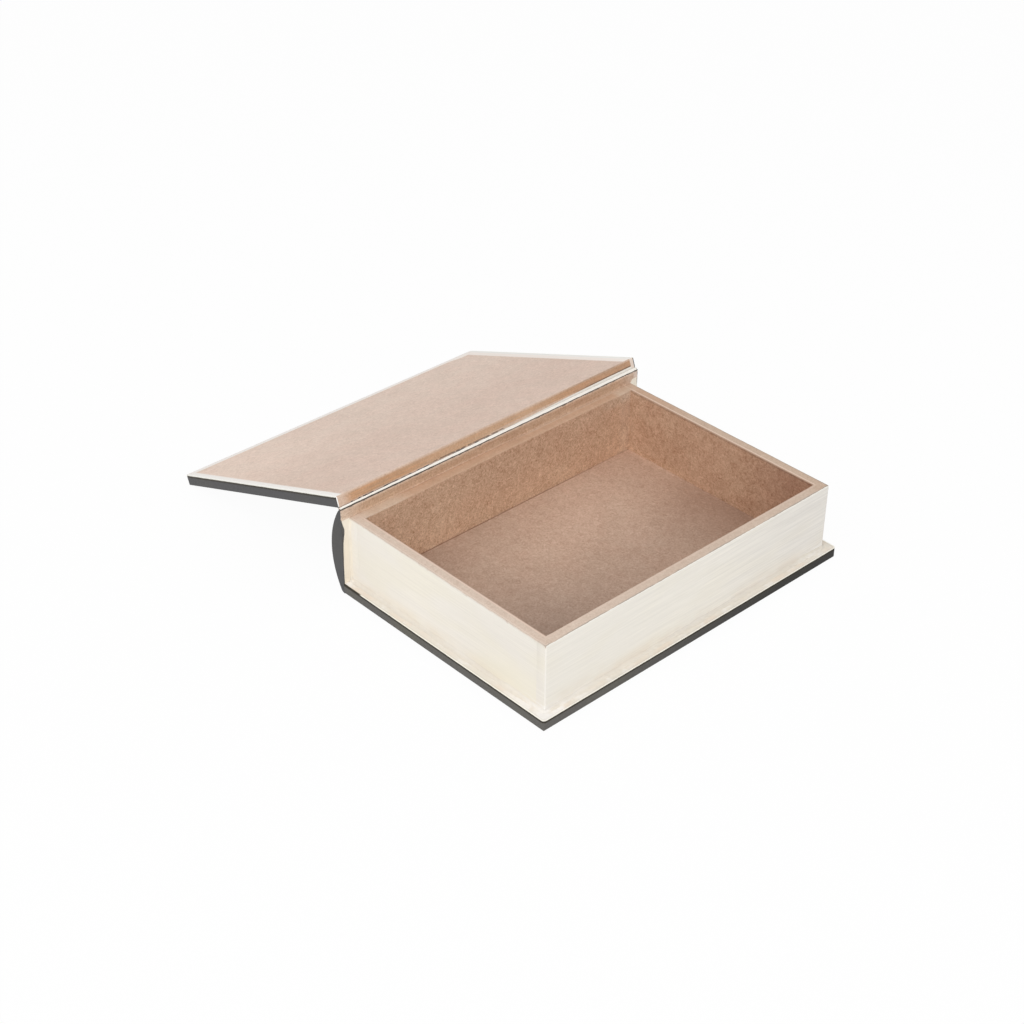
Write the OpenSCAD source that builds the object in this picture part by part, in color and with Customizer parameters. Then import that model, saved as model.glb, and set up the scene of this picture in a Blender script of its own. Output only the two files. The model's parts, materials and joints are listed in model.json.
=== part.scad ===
// Book box: a tray made to look like a hardback book, whose front cover is the lid.
// The box lies on its back cover. +X points from the spine to the fore edge, +Y from tail to head,
// +Z up. The origin is on the table, under the middle of the page block.
// The lid is drawn as the box is shown, folded right back with its fore edge on the table.

/* [Page block] */
// Length of the page block, along the spine
block_len = 220; // [150:1:320]
// Width of the page block, from the spine to the fore edge
block_w = 156; // [100:1:230]
// Height of the walls above the tray's floor
wall_h = 42; // [20:0.5:80]
// Thickness of the walls, with their paint
wall_t = 6.4; // [4:0.1:12]
// Radius of the two upright corners at the fore edge
block_corner_r = 0.8; // [0.4:0.1:3]

/* [Covers] */
// Thickness of the board in the back cover and the lid
board_t = 6; // [4:0.1:10]
// How far the covers stand out past the page block at tail and head
end_overhang = 5.8; // [2:0.1:12]
// How far the covers stand out past the page block at the fore edge
fore_overhang = 5.5; // [2:0.1:12]
// Radius of the covers' corners, seen from above
corner_r = 2; // [1.2:0.1:6]
// Radius of the edge round the covers' outer faces
edge_r = 1.2; // [1.1:0.1:2.5]
// Thickness of the dark skin glued over covers and spine
skin_t = 0.6; // [0.4:0.05:1]

/* [Spine] */
// Depth of the spine rail, from its flat inside to its crown
rail_d = 9.2; // [6:0.1:20]
// Width of the flat land along the rail's top and bottom
rail_land = 1.5; // [0.5:0.1:3]

/* [Hinge] */
// Width of the cloth strip between the spine and the closed lid
strip_w = 2.2; // [1.8:0.1:4]
// Angle through which the strip folds back from the closed box to the open one
strip_open = 160; // [150:1:170]
// Thickness of the off-white lining, which is the inner part of the strip
lining_t = 0.25; // [0.1:0.05:0.3]
// Gap at each of the strip's two folds
fold_gap = 0.05; // [0.02:0.01:0.1]
// Gap that the paint leaves between the closed lid and the rim
seat_gap = 0.2; // [0.1:0.05:0.5]
// Gap between the open lid's fore edge and the table
table_gap = 0.1; // [0:0.05:0.5]

/* [Hidden] */

// Roundness of small and large curves
$fn = 48;
spine_fn = 200;
// How far a cutting solid runs past the face that it cuts
past = 1;

// Colours of raw board, painted page edges, dark skin and off-white lining
raw_board = [0.74, 0.60, 0.51];
page_cream = [0.93, 0.90, 0.84];
dark_skin = [0.36, 0.36, 0.36];
lining_white = [0.93, 0.92, 0.88];

// Heights, from the table up
floor_z = skin_t + board_t;
rim_z = floor_z + wall_h;
lid_z = rim_z + seat_gap;
rail_top_z = lid_z + board_t;
top_z = rail_top_z + skin_t;

// Places along X
spine_x = -block_w / 2;
fore_x = block_w / 2 + fore_overhang;
joint_x = spine_x + strip_w;

// Lengths along Y
cover_len = block_len + 2 * end_overhang;
raw_cover_len = cover_len - 2 * skin_t;

// The hinge strip is as thick as the skin: dark cloth outside and lining inside
cloth_t = skin_t - lining_t;

// The spine's arc runs from land to land through the crown
rail_h = rail_top_z - skin_t;
rail_crown = rail_d - rail_land;
rail_r = (pow(rail_h / 2, 2) + pow(rail_crown, 2)) / (2 * rail_crown);

// The strip folds along the spine's top inner edge, which lies in the outer face of the closed box.
// Laid back over the land it holds the lid's outer hinge edge at the place worked out here.
fold_x = spine_x + strip_w * cos(strip_open);
fold_z = top_z + strip_w * sin(strip_open);

// The lid opens until the rounding along its fore edge comes down to the table
edge_reach = fore_x - edge_r - joint_x;
edge_arm = sqrt(pow(edge_reach, 2) + pow(edge_r, 2));
lid_open = 180 + atan2(edge_r, edge_reach) + asin((fold_z - table_gap - edge_r) / edge_arm);

// One turn about this axis takes the lid from its closed place to its open one
axis_x = (joint_x + fold_x) / 2 - (fold_z - top_z) / (2 * tan(lid_open / 2));
axis_z = (top_z + fold_z) / 2 + (fold_x - joint_x) / (2 * tan(lid_open / 2));
echo(strip_axis = [spine_x, top_z], strip_open = strip_open);
echo(lid_axis = [axis_x, axis_z], lid_open = lid_open);

// Turns what is drawn in the closed place about a line along Y, from the fore edge up towards the spine
module folded_back(x, z, angle) {
    translate([x, 0, z])
        rotate([0, -angle, 0])
            translate([-x, 0, -z])
                children();
}

// Turns the strip from the closed place to the open one
module opened_strip() {
    folded_back(spine_x, top_z, strip_open)
        children();
}

// Turns the lid from the closed place to the open one
module opened_lid() {
    folded_back(axis_x, axis_z, lid_open)
        children();
}

// Carries a section drawn in X and Z along the spine's direction, centred on the box
module along_spine(length) {
    rotate([90, 0, 0])
        linear_extrude(height = length, center = true)
            children();
}

// What a rounding takes off a square corner that stands at the origin and points to +X and +Y
module corner_waste(r) {
    difference() {
        translate([-r, -r])
            square(r + past);
        translate([-r, -r])
            circle(r = r);
    }
}

// The outline of a cover seen from above: square at x0, rounded corners at x1
module cover_outline(x0, x1, length, r) {
    difference() {
        translate([x0, -length / 2])
            square([x1 - x0, length]);
        translate([x1, length / 2])
            corner_waste(r);
        translate([x1, -length / 2])
            mirror([0, 1])
                corner_waste(r);
    }
}

// The section across a cover's fore edge, with the rounding on its lower, outer face
module fore_section(x0, x1, thick, r) {
    difference() {
        translate([x0, 0])
            square([x1 - x0, thick]);
        translate([x1, 0])
            mirror([0, 1])
                corner_waste(r);
    }
}

// The section along a cover, with both ends rounded on its lower, outer face
module end_section(length, thick, r) {
    difference() {
        translate([-length / 2, 0])
            square([length, thick]);
        for (side = [0, 1])
            mirror([side, 0])
                translate([length / 2, 0])
                    mirror([0, 1])
                        corner_waste(r);
    }
}

// A cover that lies with its rounded outer face down at z = 0
module cover_plate(x0, x1, length, thick, corner, edge) {
    intersection() {
        linear_extrude(height = thick)
            cover_outline(x0, x1, length, corner);
        along_spine(length)
            fore_section(x0, x1, thick, edge);
        translate([x0, 0, 0])
            rotate([90, 0, 90])
                linear_extrude(height = x1 - x0)
                    end_section(length, thick, edge);
    }
}

// The board inside a cover, from x0 to the skin at its fore edge, with spare length for cutting
module cover_core(x0, spare_x, spare_z) {
    translate([0, 0, skin_t])
        cover_plate(
            x0 - spare_x, fore_x - skin_t, raw_cover_len, board_t + spare_z,
            corner_r - skin_t, edge_r - skin_t
        );
}

// The skin on a cover's outer face, fore edge and both ends
module cover_skin(x0) {
    difference() {
        cover_plate(x0, fore_x, cover_len, board_t + skin_t, corner_r, edge_r);
        cover_core(x0, past, past);
    }
}

// Puts a cover that was drawn outer face down into the closed lid's place
module closed_lid() {
    translate([0, 0, top_z])
        mirror([0, 0, 1])
            children();
}

// The spine's section: a flat inside and a rounded outside between two narrow lands
module spine_section(grow, spare_x) {
    intersection() {
        translate([spine_x - rail_d + rail_r, skin_t + rail_h / 2])
            circle(r = rail_r + grow, $fn = spine_fn);
        translate([spine_x - rail_d - grow, skin_t - grow])
            square([rail_d + grow + spare_x, rail_h + 2 * grow]);
    }
}

// One layer of the hinge strip, between two depths below the outer face of the closed box
module strip_layer(upper, lower) {
    opened_strip()
        translate([spine_x + fold_gap, -cover_len / 2, top_z - lower])
            cube([strip_w - 2 * fold_gap, cover_len, lower - upper]);
}

// A wall that stands on the floor between two corners given in plan
module wall(from, to) {
    translate([from[0], from[1], floor_z])
        cube([to[0] - from[0], to[1] - from[1], wall_h]);
}

module base_board() {
    color(raw_board)
        cover_core(spine_x, 0, 0);
}

module base_covering() {
    color(dark_skin)
        cover_skin(spine_x);
}

// The end walls stand between the two long walls
module tail_wall() {
    color(page_cream)
        wall([spine_x + wall_t, -block_len / 2], [block_w / 2 - wall_t, wall_t - block_len / 2]);
}

module head_wall() {
    color(page_cream)
        wall([spine_x + wall_t, block_len / 2 - wall_t], [block_w / 2 - wall_t, block_len / 2]);
}

module fore_edge_wall() {
    color(page_cream)
        translate([0, 0, floor_z])
            linear_extrude(height = wall_h)
                cover_outline(block_w / 2 - wall_t, block_w / 2, block_len, block_corner_r);
}

module back_wall() {
    color(raw_board)
        wall([spine_x, -block_len / 2], [spine_x + wall_t, block_len / 2]);
}

module spine_rail() {
    color(raw_board)
        along_spine(raw_cover_len)
            spine_section(0, 0);
}

module spine_covering() {
    color(dark_skin)
        difference() {
            along_spine(cover_len)
                spine_section(skin_t, 0);
            along_spine(raw_cover_len)
                spine_section(0, past);
        }
}

module lid_board() {
    color(raw_board)
        opened_lid()
            closed_lid()
                cover_core(joint_x, 0, 0);
}

module lid_covering() {
    color(dark_skin)
        opened_lid()
            closed_lid()
                cover_skin(joint_x);
}

module hinge_cloth() {
    color(dark_skin)
        strip_layer(0, cloth_t);
}

module hinge_lining() {
    color(lining_white)
        strip_layer(cloth_t, skin_t);
}

base_board();
base_covering();
tail_wall();
head_wall();
fore_edge_wall();
back_wall();
spine_rail();
spine_covering();
lid_board();
lid_covering();
hinge_cloth();
hinge_lining();
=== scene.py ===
import json
import logging
import math
from dataclasses import dataclass
from enum import Enum
from typing import Any

import bmesh
import bpy
import numpy as np
from mathutils import Matrix, Vector


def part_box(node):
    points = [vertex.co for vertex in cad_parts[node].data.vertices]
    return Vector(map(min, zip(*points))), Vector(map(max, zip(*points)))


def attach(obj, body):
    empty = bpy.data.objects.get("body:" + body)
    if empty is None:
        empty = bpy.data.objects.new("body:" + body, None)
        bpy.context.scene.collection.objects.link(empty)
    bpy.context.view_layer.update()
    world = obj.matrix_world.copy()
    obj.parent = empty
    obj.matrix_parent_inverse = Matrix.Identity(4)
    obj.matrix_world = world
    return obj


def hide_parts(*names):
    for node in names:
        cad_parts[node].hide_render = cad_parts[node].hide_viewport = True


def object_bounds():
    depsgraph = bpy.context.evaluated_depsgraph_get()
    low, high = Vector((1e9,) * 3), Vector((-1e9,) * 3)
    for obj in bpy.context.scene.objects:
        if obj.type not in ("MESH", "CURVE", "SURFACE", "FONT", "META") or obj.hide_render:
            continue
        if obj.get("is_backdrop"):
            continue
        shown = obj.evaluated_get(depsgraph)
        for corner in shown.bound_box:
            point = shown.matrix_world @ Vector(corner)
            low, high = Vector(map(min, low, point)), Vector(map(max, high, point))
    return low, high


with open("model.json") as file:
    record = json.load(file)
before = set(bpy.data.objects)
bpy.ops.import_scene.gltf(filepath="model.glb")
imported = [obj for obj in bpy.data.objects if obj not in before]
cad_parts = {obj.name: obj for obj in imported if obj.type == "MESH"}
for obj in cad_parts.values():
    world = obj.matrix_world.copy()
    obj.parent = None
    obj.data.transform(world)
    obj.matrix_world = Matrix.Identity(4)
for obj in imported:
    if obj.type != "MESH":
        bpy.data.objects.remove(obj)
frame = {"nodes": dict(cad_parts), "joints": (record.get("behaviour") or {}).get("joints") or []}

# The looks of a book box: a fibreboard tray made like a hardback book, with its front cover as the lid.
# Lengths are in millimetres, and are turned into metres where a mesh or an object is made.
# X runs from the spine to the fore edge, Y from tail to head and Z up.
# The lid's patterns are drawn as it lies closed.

MM = 0.001
CAD_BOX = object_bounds()
SHARP_ANGLE = math.radians(38)
BOARD_THICK = 6.0
SKIN_THICK = 0.6
TOUCH = 0.02
WAVE_LENGTH = 0.314
TONE_LEVELS = 255

log = logging.getLogger("book_box")
Colour = tuple[float, float, float, float]
Triple = tuple[float, float, float]
EVEN = (1.0, 1.0, 1.0)
WHITE = (1.0, 1.0, 1.0, 1.0)


def srgb(red: float, green: float, blue: float) -> Colour:
    """Turns display levels into the light that they stand for.

    Args:
        red: Red level, 0 to 255.
        green: Green level, 0 to 255.
        blue: Blue level, 0 to 255.

    Returns:
        The linear colour with an alpha of 1.
    """
    level = np.array([red, green, blue]) / TONE_LEVELS
    low, high = level / 12.92, ((level + 0.055) / 1.055) ** 2.4
    return (*np.where(level <= 0.04045, low, high).tolist(), 1.0)


class Axis(Enum):
    """The directions, with their places in a row of coordinates."""

    X = 0
    Y = 1
    Z = 2


X, Y, Z = Axis


class Slot(Enum):
    """The record's material slots."""

    RAW_BOARD = "raw_board"
    PAGE_EDGES = "page_edges"
    DARK_COVERING = "dark_covering"
    HINGE_CLOTH = "hinge_cloth"
    HINGE_LINING = "hinge_lining"


class Body(Enum):
    """The bodies that pieces ride on."""

    TRAY = "tray"
    HINGE_STRIP = "hinge_strip"
    LID = "lid"


# Shader trees


class Value:
    """A socket on which Python's operators add Math nodes."""

    def __init__(self, tree: "Tree", socket: bpy.types.NodeSocket) -> None:
        """Keeps the socket and the tree that it belongs to."""
        self.tree = tree
        self.socket = socket

    def _math(self, operation: str, *terms: Any) -> "Value":
        """Adds a Math node that works on the terms in their order."""
        return self.tree.node("ShaderNodeMath", {"operation": operation}, dict(enumerate(terms)))

    def __add__(self, other: Any) -> "Value":
        """This plus the other."""
        return self._math("ADD", self, other)

    def __radd__(self, other: Any) -> "Value":
        """The other plus this."""
        return self._math("ADD", other, self)

    def __sub__(self, other: Any) -> "Value":
        """This less the other."""
        return self._math("SUBTRACT", self, other)

    def __rsub__(self, other: Any) -> "Value":
        """The other less this."""
        return self._math("SUBTRACT", other, self)

    def __mul__(self, other: Any) -> "Value":
        """This times the other."""
        return self._math("MULTIPLY", self, other)

    def __rmul__(self, other: Any) -> "Value":
        """The other times this."""
        return self._math("MULTIPLY", other, self)

    def __abs__(self) -> "Value":
        """This without its sign."""
        return self._math("ABSOLUTE", self)

    def __and__(self, other: Any) -> "Value":
        """The smaller of the two."""
        return self._math("MINIMUM", self, other)

    def __or__(self, other: Any) -> "Value":
        """The larger of the two."""
        return self._math("MAXIMUM", self, other)

    def step(self, start: Any, stop: Any) -> "Value":
        """A soft step: 0 on start's side and 1 on stop's side, so that it falls where start is above stop."""
        settings = {"interpolation_type": "SMOOTHSTEP"}
        return self.tree.node("ShaderNodeMapRange", settings, {0: self, 1: start, 2: stop})

    def band(self, low: Any, high: Any, soft: float) -> "Value":
        """1 between low and high, with soft edges."""
        return self.step(low - soft, low + soft) * self.step(high + soft, high - soft)


def plain(colour: Any) -> Any:
    """A colour without its alpha, as vector nodes take it; a link stays as it is."""
    return colour if isinstance(colour, Value) else colour[:3]


class Tree:
    """A node tree that is filled by calls."""

    def __init__(self, nodes: bpy.types.NodeTree) -> None:
        """Takes over a tree and empties it."""
        self.tree = nodes
        self.tree.nodes.clear()

    def node(
        self, kind: str, settings: dict | None = None, inputs: dict | None = None, output: int | str = 0,
    ) -> Value:
        """Adds one node.

        Args:
            kind: The node's type.
            settings: Its own settings, which are set first.
            inputs: The value or the link of each of its sockets, by name or number.
            output: Which of its outputs to hand back.

        Returns:
            The chosen output.
        """
        made = self.tree.nodes.new(kind)
        for key, value in (settings or {}).items():
            setattr(made, key, value)
        for key, value in (inputs or {}).items():
            if isinstance(value, Value):
                self.tree.links.new(value.socket, made.inputs[key])
            else:
                made.inputs[key].default_value = value
        return Value(self, made.outputs[output]) if len(made.outputs) else None

    def seen_directly(self) -> Value:
        """Tells what is seen from light on its way.

        Returns:
            1 for what is seen directly, in a gloss or through something clear, and 0 otherwise.
        """
        kinds = ("Camera", "Glossy", "Transmission")
        camera, glossy, clear = (self.node("ShaderNodeLightPath", output=f"Is {kind} Ray") for kind in kinds)
        return camera | glossy | clear


class Paint(Tree):
    """A material under construction, whose places are in millimetres."""

    def __init__(self, name: str, turn: float = 0.0, about: tuple[float, float] = (0.0, 0.0)) -> None:
        """Starts a material.

        Args:
            name: The material's name.
            turn: Angle in degrees about the Y direction that brings the piece to where its pattern is drawn.
            about: The X and Z that it is turned about.
        """
        self.material = bpy.data.materials.new(name)
        self.material.use_nodes = True
        super().__init__(self.material.node_tree)
        centre = Vector((about[0], 0, about[1]))
        shift = centre - Matrix.Rotation(math.radians(turn), 3, "Y") @ centre
        self.place = self.node("ShaderNodeMapping", None, {
            "Vector": self.node("ShaderNodeTexCoord", output="Object"),
            "Location": shift, "Rotation": (0, math.radians(turn), 0), "Scale": (1 / MM, 1 / MM, 1 / MM),
        })
        self.axes = [self.node("ShaderNodeSeparateXYZ", None, {0: self.place}, axis.value) for axis in Axis]

    def noise(
        self, size: Any, offset: float = 0.0, detail: float = 2.0, rough: float = 0.6, curl: float = 0.0,
    ) -> Value:
        """Cloudy noise between 0 and 1.

        Args:
            size: Size of its features, one number or one for each direction.
            offset: How far the pattern is moved, so that two of a kind differ.
            detail: How many finer layers it has.
            rough: How strong the finer layers are.
            curl: How strongly the noise distorts itself.

        Returns:
            The noise.
        """
        sizes = (size, size, size) if isinstance(size, (int, float)) else size
        stretched = self.node("ShaderNodeMapping", None, {
            "Vector": self.place, "Location": (offset, offset, offset), "Scale": tuple(1 / s for s in sizes),
        })
        return self.node("ShaderNodeTexNoise", None, {
            "Vector": stretched, "Scale": 1.0, "Detail": detail, "Roughness": rough, "Distortion": curl,
        })

    def wander(self, size: Any, offset: float, detail: float = 2.0) -> Value:
        """How far an edge wanders from its line: noise round 0, from -0.5 to 0.5."""
        return self.noise(size, offset, detail) - 0.5

    def mix(self, share: Any, first: Any, second: Any) -> Value:
        """A blend of two colours: the first where share is 0 and the second where it is 1."""
        return self.node("ShaderNodeMix", {"data_type": "RGBA"}, {0: share, 6: first, 7: second}, 2)

    def coated(self, colour: Any, *coats: tuple[Any, Any]) -> Value:
        """Lays coats over a colour.

        Args:
            colour: The colour underneath.
            coats: Each coat's share, from 0 to 1, and its colour, in the order in which they go on.

        Returns:
            The colour with all of them.
        """
        for share, coat in coats:
            colour = self.mix(share, colour, coat)
        return colour

    def vector(self, operation: str, inputs: dict) -> Value:
        """Adds a Vector Math node."""
        return self.node("ShaderNodeVectorMath", {"operation": operation}, inputs)

    def shade(self, colour: Any, factor: Any) -> Value:
        """A colour made darker or lighter by a factor."""
        return self.vector("SCALE", {0: plain(colour), "Scale": factor})

    def tint(self, colour: Any, factors: Triple) -> Value:
        """A colour with each channel multiplied by a factor of its own."""
        return self.vector("MULTIPLY", {0: plain(colour), 1: factors})

    def change(self, colour: Any, share: Any, depth: Triple) -> Value:
        """A colour changed by a share of itself, each channel to its own depth: c + c * share * depth."""
        part = self.vector("SCALE", {0: depth, "Scale": share})
        return self.vector("MULTIPLY_ADD", {0: plain(colour), 1: part, 2: plain(colour)})

    def specks(self, spacing: float, radius: float, share: float, offset: float) -> Value:
        """Sparse round specks.

        Args:
            spacing: Size of the cells, each of which may hold a speck.
            radius: Radius of a speck.
            share: How many of the cells hold one.
            offset: How far the pattern is moved.

        Returns:
            1 on a speck and 0 between them.
        """
        moved = self.vector("ADD", {0: self.place, 1: (offset, offset, offset)})
        cells = {"Vector": moved, "Scale": 1 / spacing}
        from_middle = self.node("ShaderNodeTexVoronoi", None, cells)
        colours = self.node("ShaderNodeTexVoronoi", None, cells, "Color")
        chosen = self.node("ShaderNodeSeparateColor", None, {0: colours}).step(1 - share - 0.01, 1 - share)
        return from_middle.step(radius / spacing, 0.4 * radius / spacing) * chosen

    def finish(
        self, colour: Value, roughness: Any, height: Value, depth: float, **fixed: float,
    ) -> bpy.types.Material:
        """Closes the material with its surface shader.

        Args:
            colour: Base colour.
            roughness: Roughness, which may vary.
            height: Height of the fine relief, 0 to 1.
            depth: Height in millimetres that 1 stands for.
            fixed: Further sockets of the shader that are the same all over, by name with _ for a space.

        Returns:
            The material.
        """
        bump = self.node("ShaderNodeBump", None, {"Strength": 1.0, "Distance": depth * MM, "Height": height})
        sockets = {key.replace("_", " "): value for key, value in fixed.items()}
        surface = self.node("ShaderNodeBsdfPrincipled", None, {
            "Base Color": colour, "Roughness": roughness, "Normal": bump, **sockets,
        })
        self.node("ShaderNodeOutputMaterial", None, {"Surface": surface})
        return self.material


# Meshes


def waviness(place: np.ndarray, seed: int, longest: float) -> np.ndarray:
    """Smooth unevenness, about -1 to 1: six sines, each 1.6 times shorter and 1.3 times weaker than the last.

    Args:
        place: Places along a length.
        seed: Seed of the sines' phases.
        longest: Length of the longest wave.

    Returns:
        The unevenness at each place.
    """
    octave = np.arange(6)
    phase = np.random.default_rng(seed).uniform(0, 2 * np.pi, 6)
    weight = 1.3 ** -octave
    waves = np.sin(2 * np.pi * place[..., None] * 1.6 ** octave / longest + phase)
    return 1.6 * (weight * waves).sum(-1) / weight.sum()


def fade(distance: np.ndarray, over: float) -> np.ndarray:
    """0 at no distance and 1 past the given length: the cubic 3 t^2 - 2 t^3 between them."""
    t = np.clip(distance / over, 0, 1)
    return t * t * (3 - 2 * t)


def quarter_turn(count: int) -> np.ndarray:
    """Angles spread evenly from 0 to a quarter turn."""
    return np.linspace(0, np.pi / 2, count)


def rounding(distance: np.ndarray, radius: np.ndarray | float) -> np.ndarray:
    """How far a quarter circle falls back at a distance from the edge: r - sqrt(r^2 - (r - d)^2)."""
    inside = np.clip(radius - distance, 0, radius)
    return radius - np.sqrt(np.maximum(radius * radius - inside * inside, 0))


def stations(low: float, high: float, spacing: float, crowd: float) -> np.ndarray:
    """Places along a length, evenly spaced but crowded towards both ends.

    Args:
        low: Where the length starts.
        high: Where it ends.
        spacing: The even spacing.
        crowd: The stretch at each end that is crowded, as 1 - cos does.

    Returns:
        The places in rising order.
    """
    end = crowd * (1 - np.cos(quarter_turn(7)))
    count = max(2, round((high - low - 2 * crowd) / spacing))
    middle = np.linspace(low + crowd, high - crowd, count + 1)
    return np.concatenate([low + end[:-1], middle, high - end[-2::-1]])


def carried(sections: np.ndarray) -> tuple[np.ndarray, list[list[int]]]:
    """Joins closed sections into a solid: neighbouring points of neighbouring sections make a quad.

    Args:
        sections: An array of (stations, corners, 3) places.

    Returns:
        The points, and the faces with both ends closed.
    """
    count, corners = sections.shape[:2]
    here = np.arange(count * corners).reshape(count, corners)
    beside = np.roll(here, -1, axis=1)
    quads = np.stack([here[:-1], beside[:-1], beside[1:], here[1:]], -1).reshape(-1, 4)
    return sections.reshape(-1, 3), quads.tolist() + [here[0].tolist(), here[-1].tolist()]


def solid(name: str, points: np.ndarray, faces: list[list[int]]) -> bpy.types.Object:
    """Makes a closed mesh whose faces point outwards and whose shallow edges are smooth.

    Args:
        name: The piece's name.
        points: Its points in millimetres.
        faces: Its faces.

    Returns:
        The new object, at the origin.
    """
    mesh = bpy.data.meshes.new(name)
    mesh.from_pydata((points * MM).tolist(), [], faces)
    work = bmesh.new()
    work.from_mesh(mesh)
    bmesh.ops.recalc_face_normals(work, faces=work.faces)
    work.to_mesh(mesh)
    work.free()
    mesh.shade_smooth()
    mesh.set_sharp_from_angle(angle=SHARP_ANGLE)
    made = bpy.data.objects.new(name, mesh)
    bpy.context.scene.collection.objects.link(made)
    return made


def settle(
    piece: bpy.types.Object, body: Body, slot: Slot, finish: bpy.types.Material, *nodes: str,
) -> None:
    """Dresses a new piece and gives it its body.

    Args:
        piece: The piece.
        body: The body that it rides on.
        slot: The record's slot that its finish belongs to; not used.
        finish: Its material.
        nodes: The CAD nodes that it stands for.
    """
    piece.data.materials.append(finish)
    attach(piece, body.value)
    if nodes:
        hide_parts(*nodes)
    log.info("%s rides on %s, %d faces", piece.name, body.value, len(piece.data.polygons))


def dress(node: str, finish: bpy.types.Material) -> None:
    """Puts a material on a CAD node that is kept as it is."""
    for place in frame["nodes"][node].material_slots:
        place.material = finish
    log.info("%s keeps its shape and takes %s", node, finish.name)


def millimetres(node: str) -> tuple[np.ndarray, np.ndarray]:
    """A CAD node's lowest and highest corners in millimetres."""
    low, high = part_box(node)
    return np.array(low) / MM, np.array(high) / MM


# Finishes


@dataclass(frozen=True)
class Drift:
    """A slow change of tone along one direction: none up to start, and the whole change from stop on.

    A start above the stop makes it run the other way. Where another drift is given, the change keeps to its
    place.

    Attributes:
        axis: The direction that it runs in.
        start: Where it begins.
        stop: Where it is complete.
        change: The whole change, as a share of the tone.
        where: Another drift whose place it keeps to.
        depth: How much each channel takes of the change.
    """

    axis: Axis
    start: float
    stop: float
    change: float = 1.0
    where: "Drift | None" = None
    depth: Triple = (0.9, 1.15, 1.2)

    def share(self, paint: Paint) -> Value:
        """How much of the change has come, from 0 to 1."""
        come = paint.axes[self.axis.value].step(self.start, self.stop)
        return come * self.where.share(paint) if self.where else come

    def amount(self, paint: Paint) -> Value:
        """The change that has come, as a share of the tone."""
        return self.change * self.share(paint)


def drifting(paint: Paint, colour: Any, *drifts: Drift) -> Any:
    """Works drifts into a colour.

    Args:
        paint: The material.
        colour: The colour.
        drifts: The drifts, each of which changes what the ones before it left.

    Returns:
        The colour with all of them.
    """
    for drift in drifts:
        colour = paint.change(colour, drift.amount(paint), drift.depth)
    return colour


@dataclass(frozen=True)
class RawBoard:
    """Unsealed fibreboard: a mottled felt of short curled fibres with sparse dark and light specks.

    Attributes:
        contrast: Strength of the mottling.
        fibre: Size of the fibres, as a factor.
        specked: Strength of the specks.
        deeper: How much each channel takes of the mottling.
        redder: Each channel's factor where the board is redder.
        yellower: Each channel's factor where it is yellower.
    """

    contrast: float = 1.0
    fibre: float = 1.0
    specked: float = 0.18
    deeper: Triple = (1.0, 1.33, 1.58)
    redder: Triple = (1.005, 0.996, 0.994)
    yellower: Triple = (0.995, 1.004, 1.003)

    def felt(self, paint: Paint) -> Value:
        """The mottling: curled fibres, fine grain, broad clouds and the specks.

        Args:
            paint: The material.

        Returns:
            A change round 0, as a share of the colour.
        """
        curled = paint.noise(2.0 * self.fibre, rough=0.55, curl=1.7) - 0.5
        grain = 0.5 * (paint.noise(1.0 * self.fibre, 31, 1, 0.5) - 0.5)
        broad = 0.22 * (paint.noise(6, 113, 1, 0.5) + paint.noise(22, 57, 1, 0.5) - 1)
        specks = 0.8 * paint.specks(5.5, 0.6, 0.3, 71) - paint.specks(4.5, 0.7, 0.4, 3)
        return self.contrast * (curled + grain + broad) + self.specked * specks

    def tinted(self, paint: Paint, colour: Any) -> Value:
        """A colour that drifts a little between redder and yellower, as pressed fibres do."""
        share = paint.noise(15, 91, 1, 0.5).step(0.35, 0.65)
        return paint.mix(share, paint.tint(colour, self.redder), paint.tint(colour, self.yellower))

    def mottled(self, paint: Paint, colour: Any, strength: Any = 1.0) -> Value:
        """A colour with the mottling, which is deeper in hue where it is darker."""
        return paint.change(colour, strength * self.felt(paint), self.deeper)

    def height(self, paint: Paint) -> Value:
        """The fibres' relief."""
        return paint.noise(0.9 * self.fibre, 13, 1, 0.5)


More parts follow.
